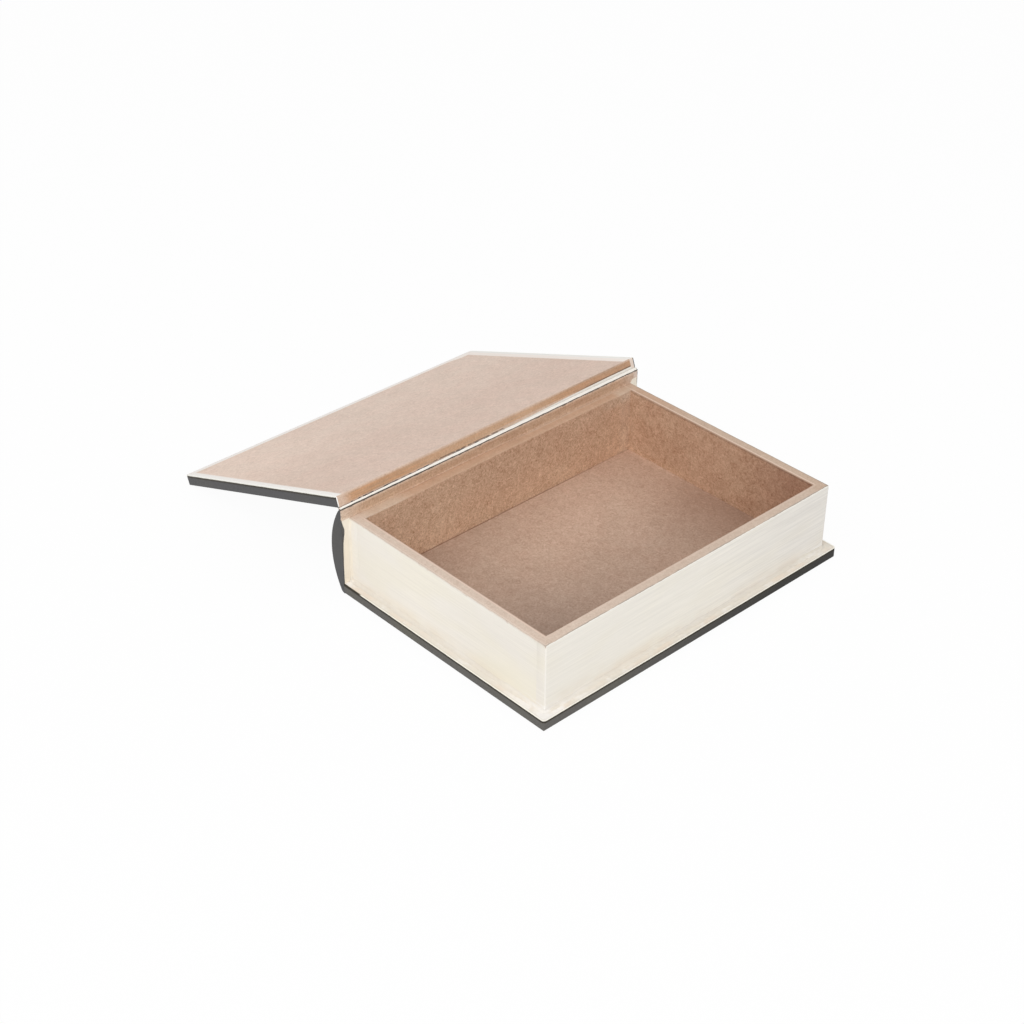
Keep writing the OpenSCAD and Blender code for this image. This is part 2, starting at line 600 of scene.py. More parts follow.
@dataclass(frozen=True)
class CreamPaint:
    """Cream paint dragged along the wall with a dry brush, so that it looks like the edges of pages.

    Attributes:
        cream: The paint itself.
        yellow: Its yellower clouds.
        peach: Its patches towards the foot.
        streak: Strength of the brush's streaks.
        drift: Painted shade: how the paint darkens along the wall, away from the light.
        stronger: Where the streaks are stronger, and by how much.
    """

    cream: Colour = srgb(244, 238, 228)
    yellow: Colour = srgb(243, 236, 217)
    peach: Colour = srgb(241, 231, 216)
    streak: float = 0.132
    drift: Drift = Drift(X, -30, 50, -0.05, None, EVEN)
    stronger: Drift = Drift(X, -70, 0, 0.9)

    def colour(self, paint: Paint, foot: float) -> Value:
        """Cream with faint yellower clouds, a peach tone towards the foot and the drift's painted shade.

        Args:
            paint: The material.
            foot: Height of the wall's foot.

        Returns:
            The colour.
        """
        clouds = paint.noise((40, 40, 16), 7, 1, 0.5).step(0.42, 0.68)
        patches = paint.noise((22, 22, 9), 19, 2, 0.5).step(0.34, 0.62)
        low = (paint.axes[2] - foot).step(11, 1)
        painted = paint.coated(self.cream, (0.45 * clouds, self.yellow), (0.75 * low * patches, self.peach))
        # Painted shade: the paint darkens along the wall.
        return drifting(paint, painted, self.drift)

    def brushed(self, paint: Paint, along: Axis) -> Value:
        """The brush's streaks, coarse and fine: noise drawn out along the wall."""
        coarse, fine = ((60, 1, 1), (18, 0.7, 0.7)) if along is X else ((1, 60, 1), (0.7, 18, 0.7))
        return 0.6 * paint.noise(coarse) + 0.4 * paint.noise(fine, 43)

    def streaked(self, paint: Paint, along: Axis, foot: float) -> Value:
        """The colour with the brush's streaks, which are stronger at one end of the wall.

        Args:
            paint: The material.
            along: The direction of the brush.
            foot: Height of the wall's foot.

        Returns:
            The colour.
        """
        streaks = self.streak * (1 + self.stronger.amount(paint)) * (self.brushed(paint, along) - 0.5)
        return paint.shade(self.colour(paint, foot), 1 + streaks)


@dataclass(frozen=True)
class DarkCovering:
    """Smooth matt imitation leather: dark grey with browner clouds and a fine grain.

    Attributes:
        dark: Its grey.
        brown: Its browner clouds.
        roughness: How matt it is, from 0 to 1.
        relief: Height of its pebbles.
    """

    dark: Colour = srgb(82, 81, 82)
    brown: Colour = srgb(89, 87, 80)
    roughness: float = 0.55
    relief: float = 0.035

    def colour(self, paint: Paint) -> Value:
        """Dark grey with broad browner clouds and a faint grain.

        Args:
            paint: The material.

        Returns:
            The colour.
        """
        clouds = 0.5 * paint.noise(40, 5, 2, 0.5).step(0.45, 0.7)
        grain = paint.noise((30, 30, 0.7), 11) + paint.noise(0.9, 23) - 1
        return paint.shade(paint.mix(clouds, self.dark, self.brown), 1 + 0.22 * grain)

    def finish(self, paint: Paint, colour: Value, gloss: float = 0.35) -> bpy.types.Material:
        """Closes a skin's material, with small pebbles, the creases between them and a finer tooth as relief.

        Args:
            paint: The material.
            colour: Its colour.
            gloss: How much it reflects.

        Returns:
            The material.
        """
        cells = {"Vector": paint.place, "Scale": 0.9, "Smoothness": 0.6}
        pebbles = 1 - paint.node("ShaderNodeTexVoronoi", {"feature": "SMOOTH_F1"}, cells)
        height = 0.7 * pebbles + 0.3 * paint.noise(0.5, 29, 3)
        return paint.finish(colour, self.roughness, height, self.relief, Specular_IOR_Level=gloss)


BOARD = RawBoard()
FLOOR_BOARD = RawBoard(contrast=0.63, fibre=1.15, specked=0.13, deeper=(1.0, 1.25, 1.45))
LID_BOARD = RawBoard(contrast=0.42, fibre=1.3, specked=0.06, deeper=(1.0, 1.1, 1.2))
PAGES = CreamPaint()
# The fore edge's paint, with painted shade darkening it towards the head.
FORE_PAGES = CreamPaint(
    cream=srgb(245, 240, 230), yellow=srgb(244, 238, 224), peach=srgb(239, 229, 214), streak=0.216,
    drift=Drift(Y, -10, 105, -0.07, None, (1.0, 1.0, 0.7)), stronger=Drift(Y, -90, 80, 1.2),
)
COVERING = DarkCovering()
# A lighter, warmer copy of the covering for the base's skin: painted light.
LIT_COVERING = DarkCovering(dark=srgb(84, 82, 79), brown=srgb(88, 86, 77))


def depth_in_plan(paint: Paint, fore: float, end: float) -> Value:
    """How far a place lies inside the fore edge and the two ends, seen from above."""
    return (fore - paint.axes[0]) & (end - abs(paint.axes[1]))


def from_corner(paint: Paint, block: "PageBlock") -> Value:
    """How far a place lies from the nearer corner of the block's fore edge, along X and Y together."""
    return block.fore - paint.axes[0] + abs(block.end - abs(paint.axes[1]))


@dataclass(frozen=True)
class RimTone:
    """The tone of the rim: lightly wiped with cream near the tail, barer towards the spine and the head.

    Attributes:
        tail: The rim at the tail.
        fore: The rim half way to the head.
        head: The rim at the head.
        back: Bare board near the spine.
        wiped: That board where it is wiped with cream, by the spine's head half and by both ends.
    """

    tail: Colour = srgb(210, 189, 172)
    fore: Colour = srgb(203, 181, 163)
    head: Colour = srgb(197, 172, 151)
    back: Colour = srgb(194, 158, 131)
    wiped: Colour = srgb(201, 174, 151)

    def colour(self, paint: Paint, back: float, end: float) -> Value:
        """The tone at each place, blended without a break from wall to wall.

        Args:
            paint: The material.
            back: X of the block's back.
            end: Half the block's length.

        Returns:
            The colour.
        """
        x, y, _ = paint.axes
        inward = x - back
        near_back = inward.step(13, 5) * (y + end).step(1, 14)
        by_head = 0.75 * x.step(-15, -55) * (end - y).step(8, 6)
        along_spine = 0.9 * inward.step(2.2, 1.2) * y.step(0, 30)
        by_ends = y.step(-66, -82) | y.step(90, 96)
        bare = paint.mix(along_spine | by_ends, self.back, self.wiped)
        towards_head = (y.step(-end, 0.2 * end), self.fore), (y.step(0.8 * end, end), self.head)
        return paint.coated(self.tail, *towards_head, (by_head, self.back), (near_back, bare))


@dataclass(frozen=True)
class WallFinish:
    """The finish of one tray wall: cream outside, a bare wiped rim and raw board inside.

    Attributes:
        inside: The raw inside, whose tone is set wall by wall as painted light and shade.
        pages: The cream paint outside.
        soft: How much further than 0.35 below the top the rim's tone runs out.
        shadow: How much darker the inside is just below the rim.
        seam: How much darker it is along the floor.
        drifts: Painted light and shade: slow lighter and darker changes of the inside's tone.
        lined: Strength of the grey line beside the paint's lap.
        line: That line's colour.
        arris: The inner arris of the end walls.
        lip: The pale lip by the tail.
        bright: The cream's upper edge.
        wiped: The same on the tail wall.
        light: Painted highlight along the rim's inner side.
        painted_corner_highlight: Painted highlight down the upright corner.
        white: The brush marks by the foot; by the spine their white also stands in for the glint of thick
            paint, as painted highlight.
    """

    inside: Colour
    pages: CreamPaint = PAGES
    soft: float = 0.2
    shadow: float = 0.22
    seam: float = 0.0
    drifts: tuple[Drift, ...] = ()
    lined: float = 0.5
    line: Colour = srgb(160, 149, 138)
    arris: Colour = srgb(172, 142, 122)
    lip: Colour = srgb(228, 210, 196)
    bright: Colour = srgb(243, 240, 232)
    wiped: Colour = srgb(226, 217, 204)
    light: Colour = srgb(226, 200, 182)
    painted_corner_highlight: Colour = srgb(250, 246, 239)
    white: Colour = srgb(249, 246, 242)

    def material(self, node: str, along: Axis, block: "PageBlock") -> bpy.types.Material:
        """The material: masks by how deep a place lies inside the block and how high it stands.

        Args:
            node: The wall's node.
            along: The direction that the wall runs in.
            block: The page block, which gives the walls' places.

        Returns:
            The material.
        """
        paint = Paint(f"{node}_finish")
        x, y, z = paint.axes
        below_top = block.top - z
        deep = depth_in_plan(paint, block.fore, block.end)
        on_tail = (block.fore - x - block.end - y).step(-0.2, 0.4)
        lap = 0.30 - 0.22 * on_tail + (0.7 - 0.45 * on_tail) * paint.wander(3.5, 61, 3)
        on_rim = below_top.step(self.soft + 0.35, 0.15)
        lined = self.lined * deep.band(lap, lap + 0.7, 0.15) * on_rim * paint.noise(11, 47).step(0.30, 0.55)
        rim = self.rim(paint, along, block, deep, lap)
        raw = paint.coated(self.raw_face(paint, block), (on_rim, rim), (lined, self.line))
        below_rim = below_top.step(1.0, 1.3) * deep.step(1.2, 1.0)
        covered = deep.step(lap + 0.08, lap - 0.08) | below_rim
        top = paint.mix(on_tail, self.bright, self.wiped)
        face, brushed = self.cream_face(paint, along, block)
        cream = paint.mix(0.8 * below_top.step(1.1, 0.5), face, top)
        height = covered * brushed + 0.5 * (1 - covered) * BOARD.height(paint)
        return paint.finish(paint.mix(covered, raw, cream), 0.72 - 0.14 * covered, height, 0.05)

    def rim(self, paint: Paint, along: Axis, block: "PageBlock", deep: Value, lap: Value) -> Value:
        """The rim: mottled, with a painted highlight inwards, a pale lip by the tail and a dark arris on the
        end walls.

        Args:
            paint: The material.
            along: The direction that the wall runs in.
            block: The page block.
            deep: How deep each place lies inside the block.
            lap: How far the paint laps over the outer arris.

        Returns:
            The colour.
        """
        from_tail = paint.axes[1] + block.end
        inner = deep.band(block.thick - 1.5, block.thick - 0.6, 0.2)
        by_tail = 0.6 * from_tail.step(4, 2) * deep.band(lap + 0.35, lap + 1.1, 0.2)
        rim = BOARD.mottled(paint, RimTone().colour(paint, block.back, block.end), 0.35)
        # Painted highlight along the rim's inner edge.
        rim = paint.coated(rim, ((0.75 if along is X else 0.30) * inner, self.light), (by_tail, self.lip))
        if along is Y:
            return rim
        return paint.mix(0.85 * deep.step(block.thick - 0.75, block.thick - 0.25), rim, self.arris)

    def raw_face(self, paint: Paint, block: "PageBlock") -> Value:
        """The inside: mottled board with painted shade just below the rim and the drifts' painted light and
        shade, darker along the floor.

        Args:
            paint: The material.
            block: The page block.

        Returns:
            The colour.
        """
        z = paint.axes[2]
        shadow = 1 - self.shadow * (block.top - z).band(0.5, 1.4, 0.3)
        seam = 1 - self.seam * (z - block.floor).step(0.6, 0.1)
        board = BOARD.mottled(paint, BOARD.tinted(paint, self.inside))
        return drifting(paint, paint.shade(board, shadow * seam), *self.drifts)

    def cream_face(self, paint: Paint, along: Axis, block: "PageBlock") -> tuple[Value, Value]:
        """The outside: brushed cream with a painted highlight down the upright corner and white brush marks
        by the foot.

        Args:
            paint: The material.
            along: The direction that the wall runs in.
            block: The page block.

        Returns:
            The colour and the brush's streaks.
        """
        x, y, z = paint.axes
        up = z - block.floor
        face, brushed = self.pages.streaked(paint, along, block.floor), self.pages.brushed(paint, along)
        if along is Y:
            on_end = (block.end - abs(y)).step(0.5, 0.3)
            face = paint.mix(on_end, face, PAGES.streaked(paint, X, block.floor))
            brushed = brushed + on_end * (PAGES.brushed(paint, X) - brushed)
        # Painted highlight: a light line down the rounded upright corner.
        upright = (1 - abs(x - block.fore) - abs(block.end - abs(y))).step(0.2, 0.7)
        face = paint.mix(0.8 * upright, face, self.painted_corner_highlight)
        if along is X:
            yellowed = 0.6 * x.step(10, 50) * (block.fore - x).step(1, 6) * up.step(26, 12)
            face = paint.mix(yellowed, face, self.pages.yellow)
        strokes = from_corner(paint, block).step(26, 4) * paint.noise((14, 14, 2.2), 67).step(0.44, 0.60)
        # White brush marks by the foot; by the spine the white is partly painted highlight.
        near_spine = 0.8 * (x - block.back).step(5, 1)
        return paint.mix(up.step(6, 1) * (strokes | near_spine), face, self.white), brushed


# The insides' tones and drifts are painted light and shade: the back wall's inside is lighter than the
# others, and the drifts lighten the head wall's foot and the far corners and darken the walls towards the rim
# and the head wall's fore end.
WALLS = {
    "tail_wall": WallFinish(srgb(194, 159, 132), lined=0.2),
    "head_wall": WallFinish(srgb(194, 158, 131), drifts=(
        Drift(Z, 14, 7, 0.13, Drift(X, 5, -35)), Drift(X, -40, 0, -0.04), Drift(X, 12, 66, -0.30),
        Drift(Z, 20, 46, -0.04), Drift(X, -58, -66, 0.10, None, (0.9, 1.4, 1.7)),
        Drift(X, 58, 70, 0.12, Drift(Z, 28, 38)),
    )),
    "fore_edge_wall": WallFinish(srgb(198, 164, 137), FORE_PAGES, lined=0.75),
    "back_wall": WallFinish(srgb(219, 185, 156), FORE_PAGES, 0.5, shadow=0.0, seam=0.12, lined=0.2, drifts=(
        Drift(Z, 8, 46, -0.12), Drift(Y, -70, -10, -0.07), Drift(Y, 85, 103, 0.10),
        Drift(Y, 92, 99, 0.05, None, (0.2, 1.5, 2.8)),
        Drift(Z, 40, 44, 0.05, Drift(Y, 75, 90), (0.3, 1.8, 2.8)),
    )),
}


@dataclass(frozen=True)
class FilletFinish:
    """The finish of the paint that has run together round the walls' foot.

    Attributes:
        flange: The fillet's lower side.
        white: The brush marks by the corners; by the spine their white also stands in for the glint of thick
            paint, as painted highlight.
        peach: The upright corner by the spine.
    """

    flange: Colour = srgb(222, 215, 203)
    white: Colour = srgb(238, 234, 228)
    peach: Colour = srgb(246, 234, 214)

    def material(self, block: "PageBlock") -> bpy.types.Material:
        """The material: the wall's cream above with painted shade towards the floor, the flange's tone below
        with painted light by the fore edge's tail corner, and white brush marks by the corners.

        Args:
            block: The page block.

        Returns:
            The material.
        """
        paint = Paint("fillet_finish")
        x, y, z = paint.axes
        up, inward = z - block.floor, x - block.back
        # Painted light and shade: the wall side darkens towards the floor, less so by the fore edge's tail
        # corner, where the flange side is lighter.
        painted_light = x.step(30, 60) * y.step(10, -50)
        wall = paint.shade(PAGES.colour(paint, block.floor), 1 - (0.09 - 0.06 * painted_light) * up.step(4, 1))
        flange = paint.shade(self.flange, 1 + 0.06 * painted_light)
        upright = 0.5 * inward.step(1.6, 0.8) * up.step(2, 5)
        strokes = 0.8 * up.step(8, 2) * paint.noise((12, 12, 2.2), 67).step(0.42, 0.60)
        # By the spine the white strokes are partly painted highlight.
        strokes = strokes * (from_corner(paint, block).step(30, 4) | inward.step(6, 1))
        colour = paint.coated(wall, (up.step(1.3, 0.1), flange), (upright, self.peach), (strokes, self.white))
        return paint.finish(colour, 0.6, paint.noise(1.2, rough=0.5), 0.05)


@dataclass(frozen=True)
class BaseFinish:
    """The finish of the base board: raw floor inside the walls and a painted flange outside them.

    Attributes:
        floor: The raw floor.
        near: The floor towards the corner of fore edge and tail, greyer and darker: painted shade.
        corner: The floor towards the corner of fore edge and head, darker: painted shade.
        flange: The painted flange.
        peach: Its clouds.
        seam: The fine gap between the floor and the walls.
        brush: White brush marks on the flange.
    """

    floor: Colour = srgb(196, 165, 144)
    near: Colour = srgb(174, 149, 132)
    corner: Colour = srgb(177, 144, 123)
    flange: Colour = srgb(227, 221, 210)
    peach: Colour = srgb(229, 218, 204)
    seam: Colour = srgb(124, 84, 62)
    brush: Colour = srgb(240, 237, 233)

    def material(self, block: "PageBlock") -> bpy.types.Material:
        """The material: the flange's cream outside the walls' middle and the raw floor inside it.

        Args:
            block: The page block, which gives the walls' places.

        Returns:
            The material.
        """
        paint = Paint("base_board_finish")
        outside = depth_in_plan(paint, block.fore, block.end).step(3.1, 2.9)
        height = outside * paint.noise(1.5, rough=0.5) + 0.6 * (1 - outside) * FLOOR_BOARD.height(paint)
        colour = paint.mix(outside, self.raw_floor(paint, block), self.painted_flange(paint, block))
        return paint.finish(colour, 0.78 - 0.16 * outside, height, 0.04)

    def raw_floor(self, paint: Paint, block: "PageBlock") -> Value:
        """The floor: mottled board with painted shade towards some corners, painted light by the walls and a
        fine seam along them.

        Args:
            paint: The material.
            block: The page block.

        Returns:
            The colour.
        """
        x, y, _ = paint.axes
        fore, end = block.fore - block.thick, block.end - block.thick
        from_fore, from_back, from_head, from_tail = fore - x, fore + x, end - y, end + y
        ragged = 0.35 + 0.7 * paint.wander(2.5, 87)
        back_gap = (0.70 - 0.5 * y.step(30, 90)) * from_back.step(ragged + 0.5, ragged + 0.1)
        head_gap = 0.35 * x.step(30, 65) * from_head.step(ragged + 0.35, ragged)
        other_gap = 0.4 * (from_fore & from_tail).step(ragged + 0.35, ragged)
        # Painted shade: greyer and darker towards the corners of the fore edge.
        shaded_fore_head_corner = x.step(-45, 0) * (1 - 0.6 * x.step(45, 68)) * y.step(40, 100)
        near = (from_fore + from_tail).step(190, 50)
        floor = FLOOR_BOARD.tinted(paint, self.floor)
        floor = paint.coated(floor, (near, self.near), (shaded_fore_head_corner, self.corner))
        # Painted light and shade: lighter beside the walls and by the head and the tail, darker towards the
        # spine's corners and the fore edge.
        by_walls = 0.05 * ((fore - abs(x)) & (end - abs(y))).band(0.9, 1.8, 0.2)
        by_head = 0.08 * from_head.step(8, 1) * x.step(-20, -50)
        by_tail = 0.12 * y.step(-44, -64) * x.step(34, 12) * x.step(-70, -20)
        left = 0.26 * (from_back + from_tail).step(165, 20)
        far = 0.05 * (from_back + from_head).step(110, 0)
        painted_light = (1 + by_walls + by_head) * (1 + by_tail) * (1 - left) * (1 - far) * (1 - 0.19 * x.step(-40, 25))
        raw = paint.shade(FLOOR_BOARD.mottled(paint, floor), painted_light)
        return paint.mix(back_gap | head_gap | other_gap, raw, self.seam)

    def painted_flange(self, paint: Paint, block: "PageBlock") -> Value:
        """The flange: cream with peach clouds, white brush marks and a slightly darker rim.

        Args:
            paint: The material.
            block: The page block.

        Returns:
            The colour.
        """
        x, y, _ = paint.axes
        fore, end = millimetres("base_board")[1][:2]
        by_corner = (abs(block.fore - x) + abs(block.end + y)).step(44, 16)
        by_spine = (x - block.back).step(8, 2)
        marks = 0.5 * paint.noise(9, 77, 3).step(0.55, 0.66)
        patches = 0.85 * paint.noise(10, 67).step(0.30, 0.52) * (by_corner | by_spine)
        peach = paint.noise(16, 19, 2, 0.5).step(0.4, 0.6)
        cream = paint.coated(self.flange, (peach, self.peach), (marks | patches, self.brush))
        rim = paint.shade(cream, 1 - 0.07 * depth_in_plan(paint, fore, end).step(1.1, 0.5))
        on_fore = (1 - by_corner) * (fore - x).step(2.4, 0.8) * y.step(80, 10)
        return paint.shade(rim, 1 - 0.05 * on_fore)


@dataclass(frozen=True)
class CoverSkinFinish:
    """The finish of a cover's skin: dark, with its cut edge painted cream with the flange.

    Attributes:
        name: The material's name.
        edge: Height of the skin's cut edge.
        sign: 1 where the skin lies below that height and -1 where it lies above.
        turn: Angle in degrees that brings the piece to where its pattern is drawn.
        about: The X and Z that it is turned about.
        lap: How far the cream laps over the cut edge.
        painted_from: X from which the cut edge is painted.
        bare_from: X from which it is bare.
        painted_falloff: Painted shade: how much darker the skin gets towards the head, as the light falls
            off.
        tone: The skin's lightness at the tail, raised on the base as painted light.
        gloss: How much it reflects.
        hinge: X of the hinge edge.
        hinge_end: How far from the middle the hinge edge's rubbed patches reach.
        covering: The skin away from its edges.
        cream: The painted cut edge.
        brown: A dark brown line just below the cut edge: painted shade.
        board: Thickness of the board that the skin wraps.
        tan: The rubbed patches of the tail half.
        lining: The lining's tone, which takes their place in the head half.
        bare: The cut edge where it is bare.
    """

    name: str
    edge: float
    sign: float
    turn: float = 0.0
    about: tuple[float, float] = (0.0, 0.0)
    lap: float = 0.12
    painted_from: float = -200.0
    bare_from: float = 200.0
    painted_falloff: float = 0.0
    tone: float = 0.93
    gloss: float = 0.35
    hinge: float = -200.0
    hinge_end: float = 200.0
    covering: DarkCovering = COVERING
    cream: Colour = srgb(246, 243, 233)
    brown: Colour = srgb(46, 39, 24)
    board: float = BOARD_THICK
    tan: Colour = srgb(204, 176, 156)
    lining: Colour = srgb(234, 229, 220)
    bare: Colour = srgb(222, 203, 192)

    def material(self) -> bpy.types.Material:
        """The material: height above or below the cut edge parts the cream, a brown line of painted shade and
        the dark skin, with painted shade over its rounded edge.

        Returns:
            The material.
        """
        paint = Paint(self.name, self.turn, self.about)
        x, y, z = paint.axes
        below = self.sign * (self.edge - z)
        lap = self.lap + 0.4 * paint.wander(5, 37, 3)
        # Painted light and shade: lightest at the tail and darker towards the head.
        painted_lightness = self.tone * (1 - self.painted_falloff * y.step(-105, 80))
        # Painted shade: the skin is darker over its rounded edge and its far face.
        rounded = below.step(self.board - 0.8, self.board + 0.6)
        skin = paint.shade(self.covering.colour(paint), (1 - 0.30 * rounded) * painted_lightness)
        painted = below.step(lap + 0.06, lap - 0.06) * x.step(self.painted_from, self.painted_from + 2)
        cut_edge = paint.mix(x.step(self.bare_from, self.bare_from + 0.1), self.cream, self.bare)
        on_board = below.step(self.board + 0.5, self.board + 0.4)
        at_hinge = x.step(self.hinge + 0.2, self.hinge + 0.05) * on_board
        at_hinge = at_hinge * abs(y).step(self.hinge_end, self.hinge_end - 0.3)
        towards_head = y.step(-25, 25)
        rubbed = at_hinge * (paint.noise(6, 29).step(0.44, 0.54) | towards_head)
        # The brown line just below the cut edge is painted shade.
        colour = paint.coated(
            skin, (0.85 * below.step(1.7, 0.9), self.brown), (painted, cut_edge),
            (rubbed, paint.mix(towards_head, self.tan, self.lining)),
        )
        return self.covering.finish(paint, colour, self.gloss)


@dataclass(frozen=True)
class LidBoardFinish:
    """The finish of the lid's board: raw inside, a painted margin on three sides and a tan hinge edge.

    Attributes:
        turn: Angle in degrees that brings the board to its closed place.
        about: The X and Z that it is turned about.
        hinge_edge: X of the hinge edge.
        inner_face: Height of the inner face.
        fore: X of the closed lid's fore edge.
        end: Half the lid's length.
        margin: Width of the painted margin.
        face: The inner face towards the hinge.
        pale: The inner face towards the fore edge, lighter: painted light.
        wiped: The hinge edge's outer lip, and its tail end.
        head_cap: The painted head end.
        tan: The hinge edge.
        orange: Its grain.
        middle: Its middle stretch.
        soft: Its softened arris.
        grey: The margin.
        bright: The margin's outermost line at the tail, and the painted tail end.
        pink: The margin's inner part at the head.
        head_edge_grey: The margin's outermost line at the head, greyer than at the tail.
        brown: The dark line on the arris near the head.
        dull: The hinge edge towards the head.
        board: Thickness of the board.
        lining: The lining's tone along the outer side of the hinge edge.
        painted_gap_shadow: Painted shadow: dark dashes in the gap beside the lining's tone.
    """

    turn: float
    about: tuple[float, float]
    hinge_edge: float
    inner_face: float
    fore: float
    end: float
    margin: float
    face: Colour = srgb(219, 195, 180)
    pale: Colour = srgb(227, 205, 190)
    wiped: Colour = srgb(220, 196, 178)
    head_cap: Colour = srgb(232, 216, 203)
    tan: Colour = srgb(188, 150, 118)
    orange: Colour = srgb(205, 157, 118)
    middle: Colour = srgb(209, 177, 148)
    soft: Colour = srgb(211, 184, 163)
    grey: Colour = srgb(247, 243, 238)
    bright: Colour = srgb(255, 254, 250)
    pink: Colour = srgb(249, 238, 229)
    head_edge_grey: Colour = srgb(242, 241, 236)
    brown: Colour = srgb(142, 112, 88)
    dull: Colour = srgb(184, 150, 126)
    board: float = BOARD_THICK
    lining: Colour = srgb(240, 236, 228)
    painted_gap_shadow: Colour = srgb(92, 74, 58)

    def material(self) -> bpy.types.Material:
        """The material, drawn in the closed lid's place.

        Returns:
            The material.
        """
        paint = Paint("lid_board_finish", self.turn, self.about)
        on_edge = (paint.axes[0] - self.hinge_edge - 0.5 * paint.noise((5, 20, 5), 5)).step(0.6, 0.0)
        colour = paint.mix(on_edge, self.inner_tone(paint), self.edge_tone(paint))
        return paint.finish(colour, 0.75, LID_BOARD.height(paint), 0.03)

    def inner_tone(self, paint: Paint) -> Value:
        """The inner face: raw board with a ragged painted margin, which is brightest along its outer edge.

        Args:
            paint: The material.

        Returns:
            The colour.
        """
        x, y, _ = paint.axes
        deep = depth_in_plan(paint, self.fore + 1.2, self.end)
        # Painted light: the inner face is lighter towards the fore edge, and lighter still by its tail
        # corner.
        tone = paint.mix(x.step(60, -40), self.pale, self.face)
        tone = paint.shade(tone, 1 + 0.05 * x.step(-20, 40) * y.step(-20, -90))
        raw = LID_BOARD.mottled(paint, LID_BOARD.tinted(paint, tone))
        margin = self.margin + 0.8 * paint.wander(6, 41, 3) + 2.8 * y.step(90, 105)
        towards_head = y.step(0, 80)
        outermost = deep.step(2.2 + 0.8 * towards_head, 1.0)
        painted = paint.coated(
            self.grey, (outermost, paint.mix(towards_head, self.bright, self.head_edge_grey)),
            (0.75 * towards_head * deep.step(2.6, 3.6), self.pink),
        )
        return paint.mix(deep.step(margin + 0.5, margin - 1.3), raw, painted)

    def edge_tone(self, paint: Paint) -> Value:
        """The hinge edge: tan grain between a soft arris and a wiped lip, with the lining and painted ends.

        Args:
            paint: The material.

        Returns:
            The colour.
        """
        _, y, z = paint.axes
        below = z - self.inner_face
        grain = paint.noise((2, 26, 1.1), 17, 3, 0.65).step(0.38, 0.62)
        arris = 1.8 - 0.5 * y.step(30, 60)
        lip = self.board - 0.5 + 0.8 * paint.wander((6, 14, 6), 15)
        lip = lip - 1.3 * y.step(-25, 15) + 1.2 * y.step(60, 85)
        lapped = self.board - 1.3 * y.step(5, 95)
        # Painted shadow: dark dashes in the gap between the strip and the hinge edge.
        dashes = paint.noise(3, 53).step(0.40, 0.50) * y.band(-48, 8, 4)
        gap_shadow_share = below.band(lapped - 0.7, lapped - 0.05, 0.1) * (dashes | y.step(60, 80))
        on_arris = below.band(0.15, 0.75, 0.15) * y.step(40, 75) * y.step(108, 98)
        tone = paint.coated(
            self.tan, (grain, self.orange), (0.5 * y.step(-75, -40) * y.step(60, 30), self.middle),
            (0.35 * y.step(40, 90), self.dull), (below.step(arris, 0.3), self.soft),
            (0.65 * below.step(lip - 0.3, lip + 0.5), self.wiped),
            (0.8 * (self.end + y).step(12, 3), self.wiped),
            (below.step(lapped - 0.06, lapped + 0.06), self.lining), (0.75 * gap_shadow_share, self.painted_gap_shadow),
            (0.45 * on_arris, self.brown),
        )
        at_head = y.step(0, 1)
        end_lap = 1.1 + 1.9 * at_head + 1.2 * paint.wander(3, 83)
        mottle = 0.45 * (1 - 0.8 * below.step(lapped - 0.1, lapped + 0.1))
        capped = (self.end - abs(y)).step(end_lap + 0.3, end_lap)
        cap = paint.mix(at_head, self.bright, self.head_cap)
        return paint.mix(capped, BOARD.mottled(paint, tone, mottle), cap)


@dataclass(frozen=True)
class RailFinish:
    """The finish of the spine rail: raw above the rim, painted below it beyond the page block.

    Attributes:
        band: The raw band above the rim.
        streak: Its streaks.
        pink: The band near both ends.
        painted_light: Its two painted highlights, just above the rim and under the top.
        tip: The band's head end.
        peach: The paint past the page block, peach and set lighter as painted light on the rail's flat side.
    """

    band: Colour = srgb(208, 176, 148)
    streak: Colour = srgb(198, 162, 134)
    pink: Colour = srgb(216, 192, 174)
    painted_light: Colour = srgb(226, 198, 174)
    tip: Colour = srgb(236, 219, 209)
    peach: Colour = srgb(250, 238, 219)

    def material(self, block: "PageBlock") -> bpy.types.Material:
        """The material: height and distance from the block's ends part the raw band and the paint.

        Args:
            block: The page block.

        Returns:
            The material.
        """
        paint = Paint("spine_rail_finish")
        _, y, z = paint.axes
        up = z - block.top
        past_head, past_end = y - block.end, abs(y) - block.end
        lapped = 2.2 * past_head.step(-0.5, 1.5)
        painted = past_end.step(-1.0, -0.6) * up.step(lapped + 0.6, lapped - 0.6 + 1.2 * paint.wander(4, 9))
        streaks = paint.noise((8, 12, 1.8), 21, 3).step(0.36, 0.66)
        from_top = millimetres("spine_rail")[1][2] - z
        # Painted highlights: light lines just above the rim and under the top.
        lines = 0.8 * (up.step(1.5, 0) | from_top.step(1.0, 0.5))
        tone = BOARD.tinted(paint, paint.coated(self.band, (streaks, self.streak), (lines, self.painted_light)))
        near_end, at_head = 0.6 * past_end.step(-14, 2), 0.7 * past_head.step(1.5, 3.5)
        tone = paint.coated(tone, (near_end, self.pink), (at_head, self.tip))
        raw = drifting(paint, BOARD.mottled(paint, tone, 0.65), Drift(Y, 0, -60, 0.08))
        # The paint's peach is partly painted light on the rail's flat side.
        cream = paint.mix(0.6, PAGES.colour(paint, block.floor), self.peach)
        return paint.finish(paint.mix(painted, raw, cream), 0.76, BOARD.height(paint), 0.04)


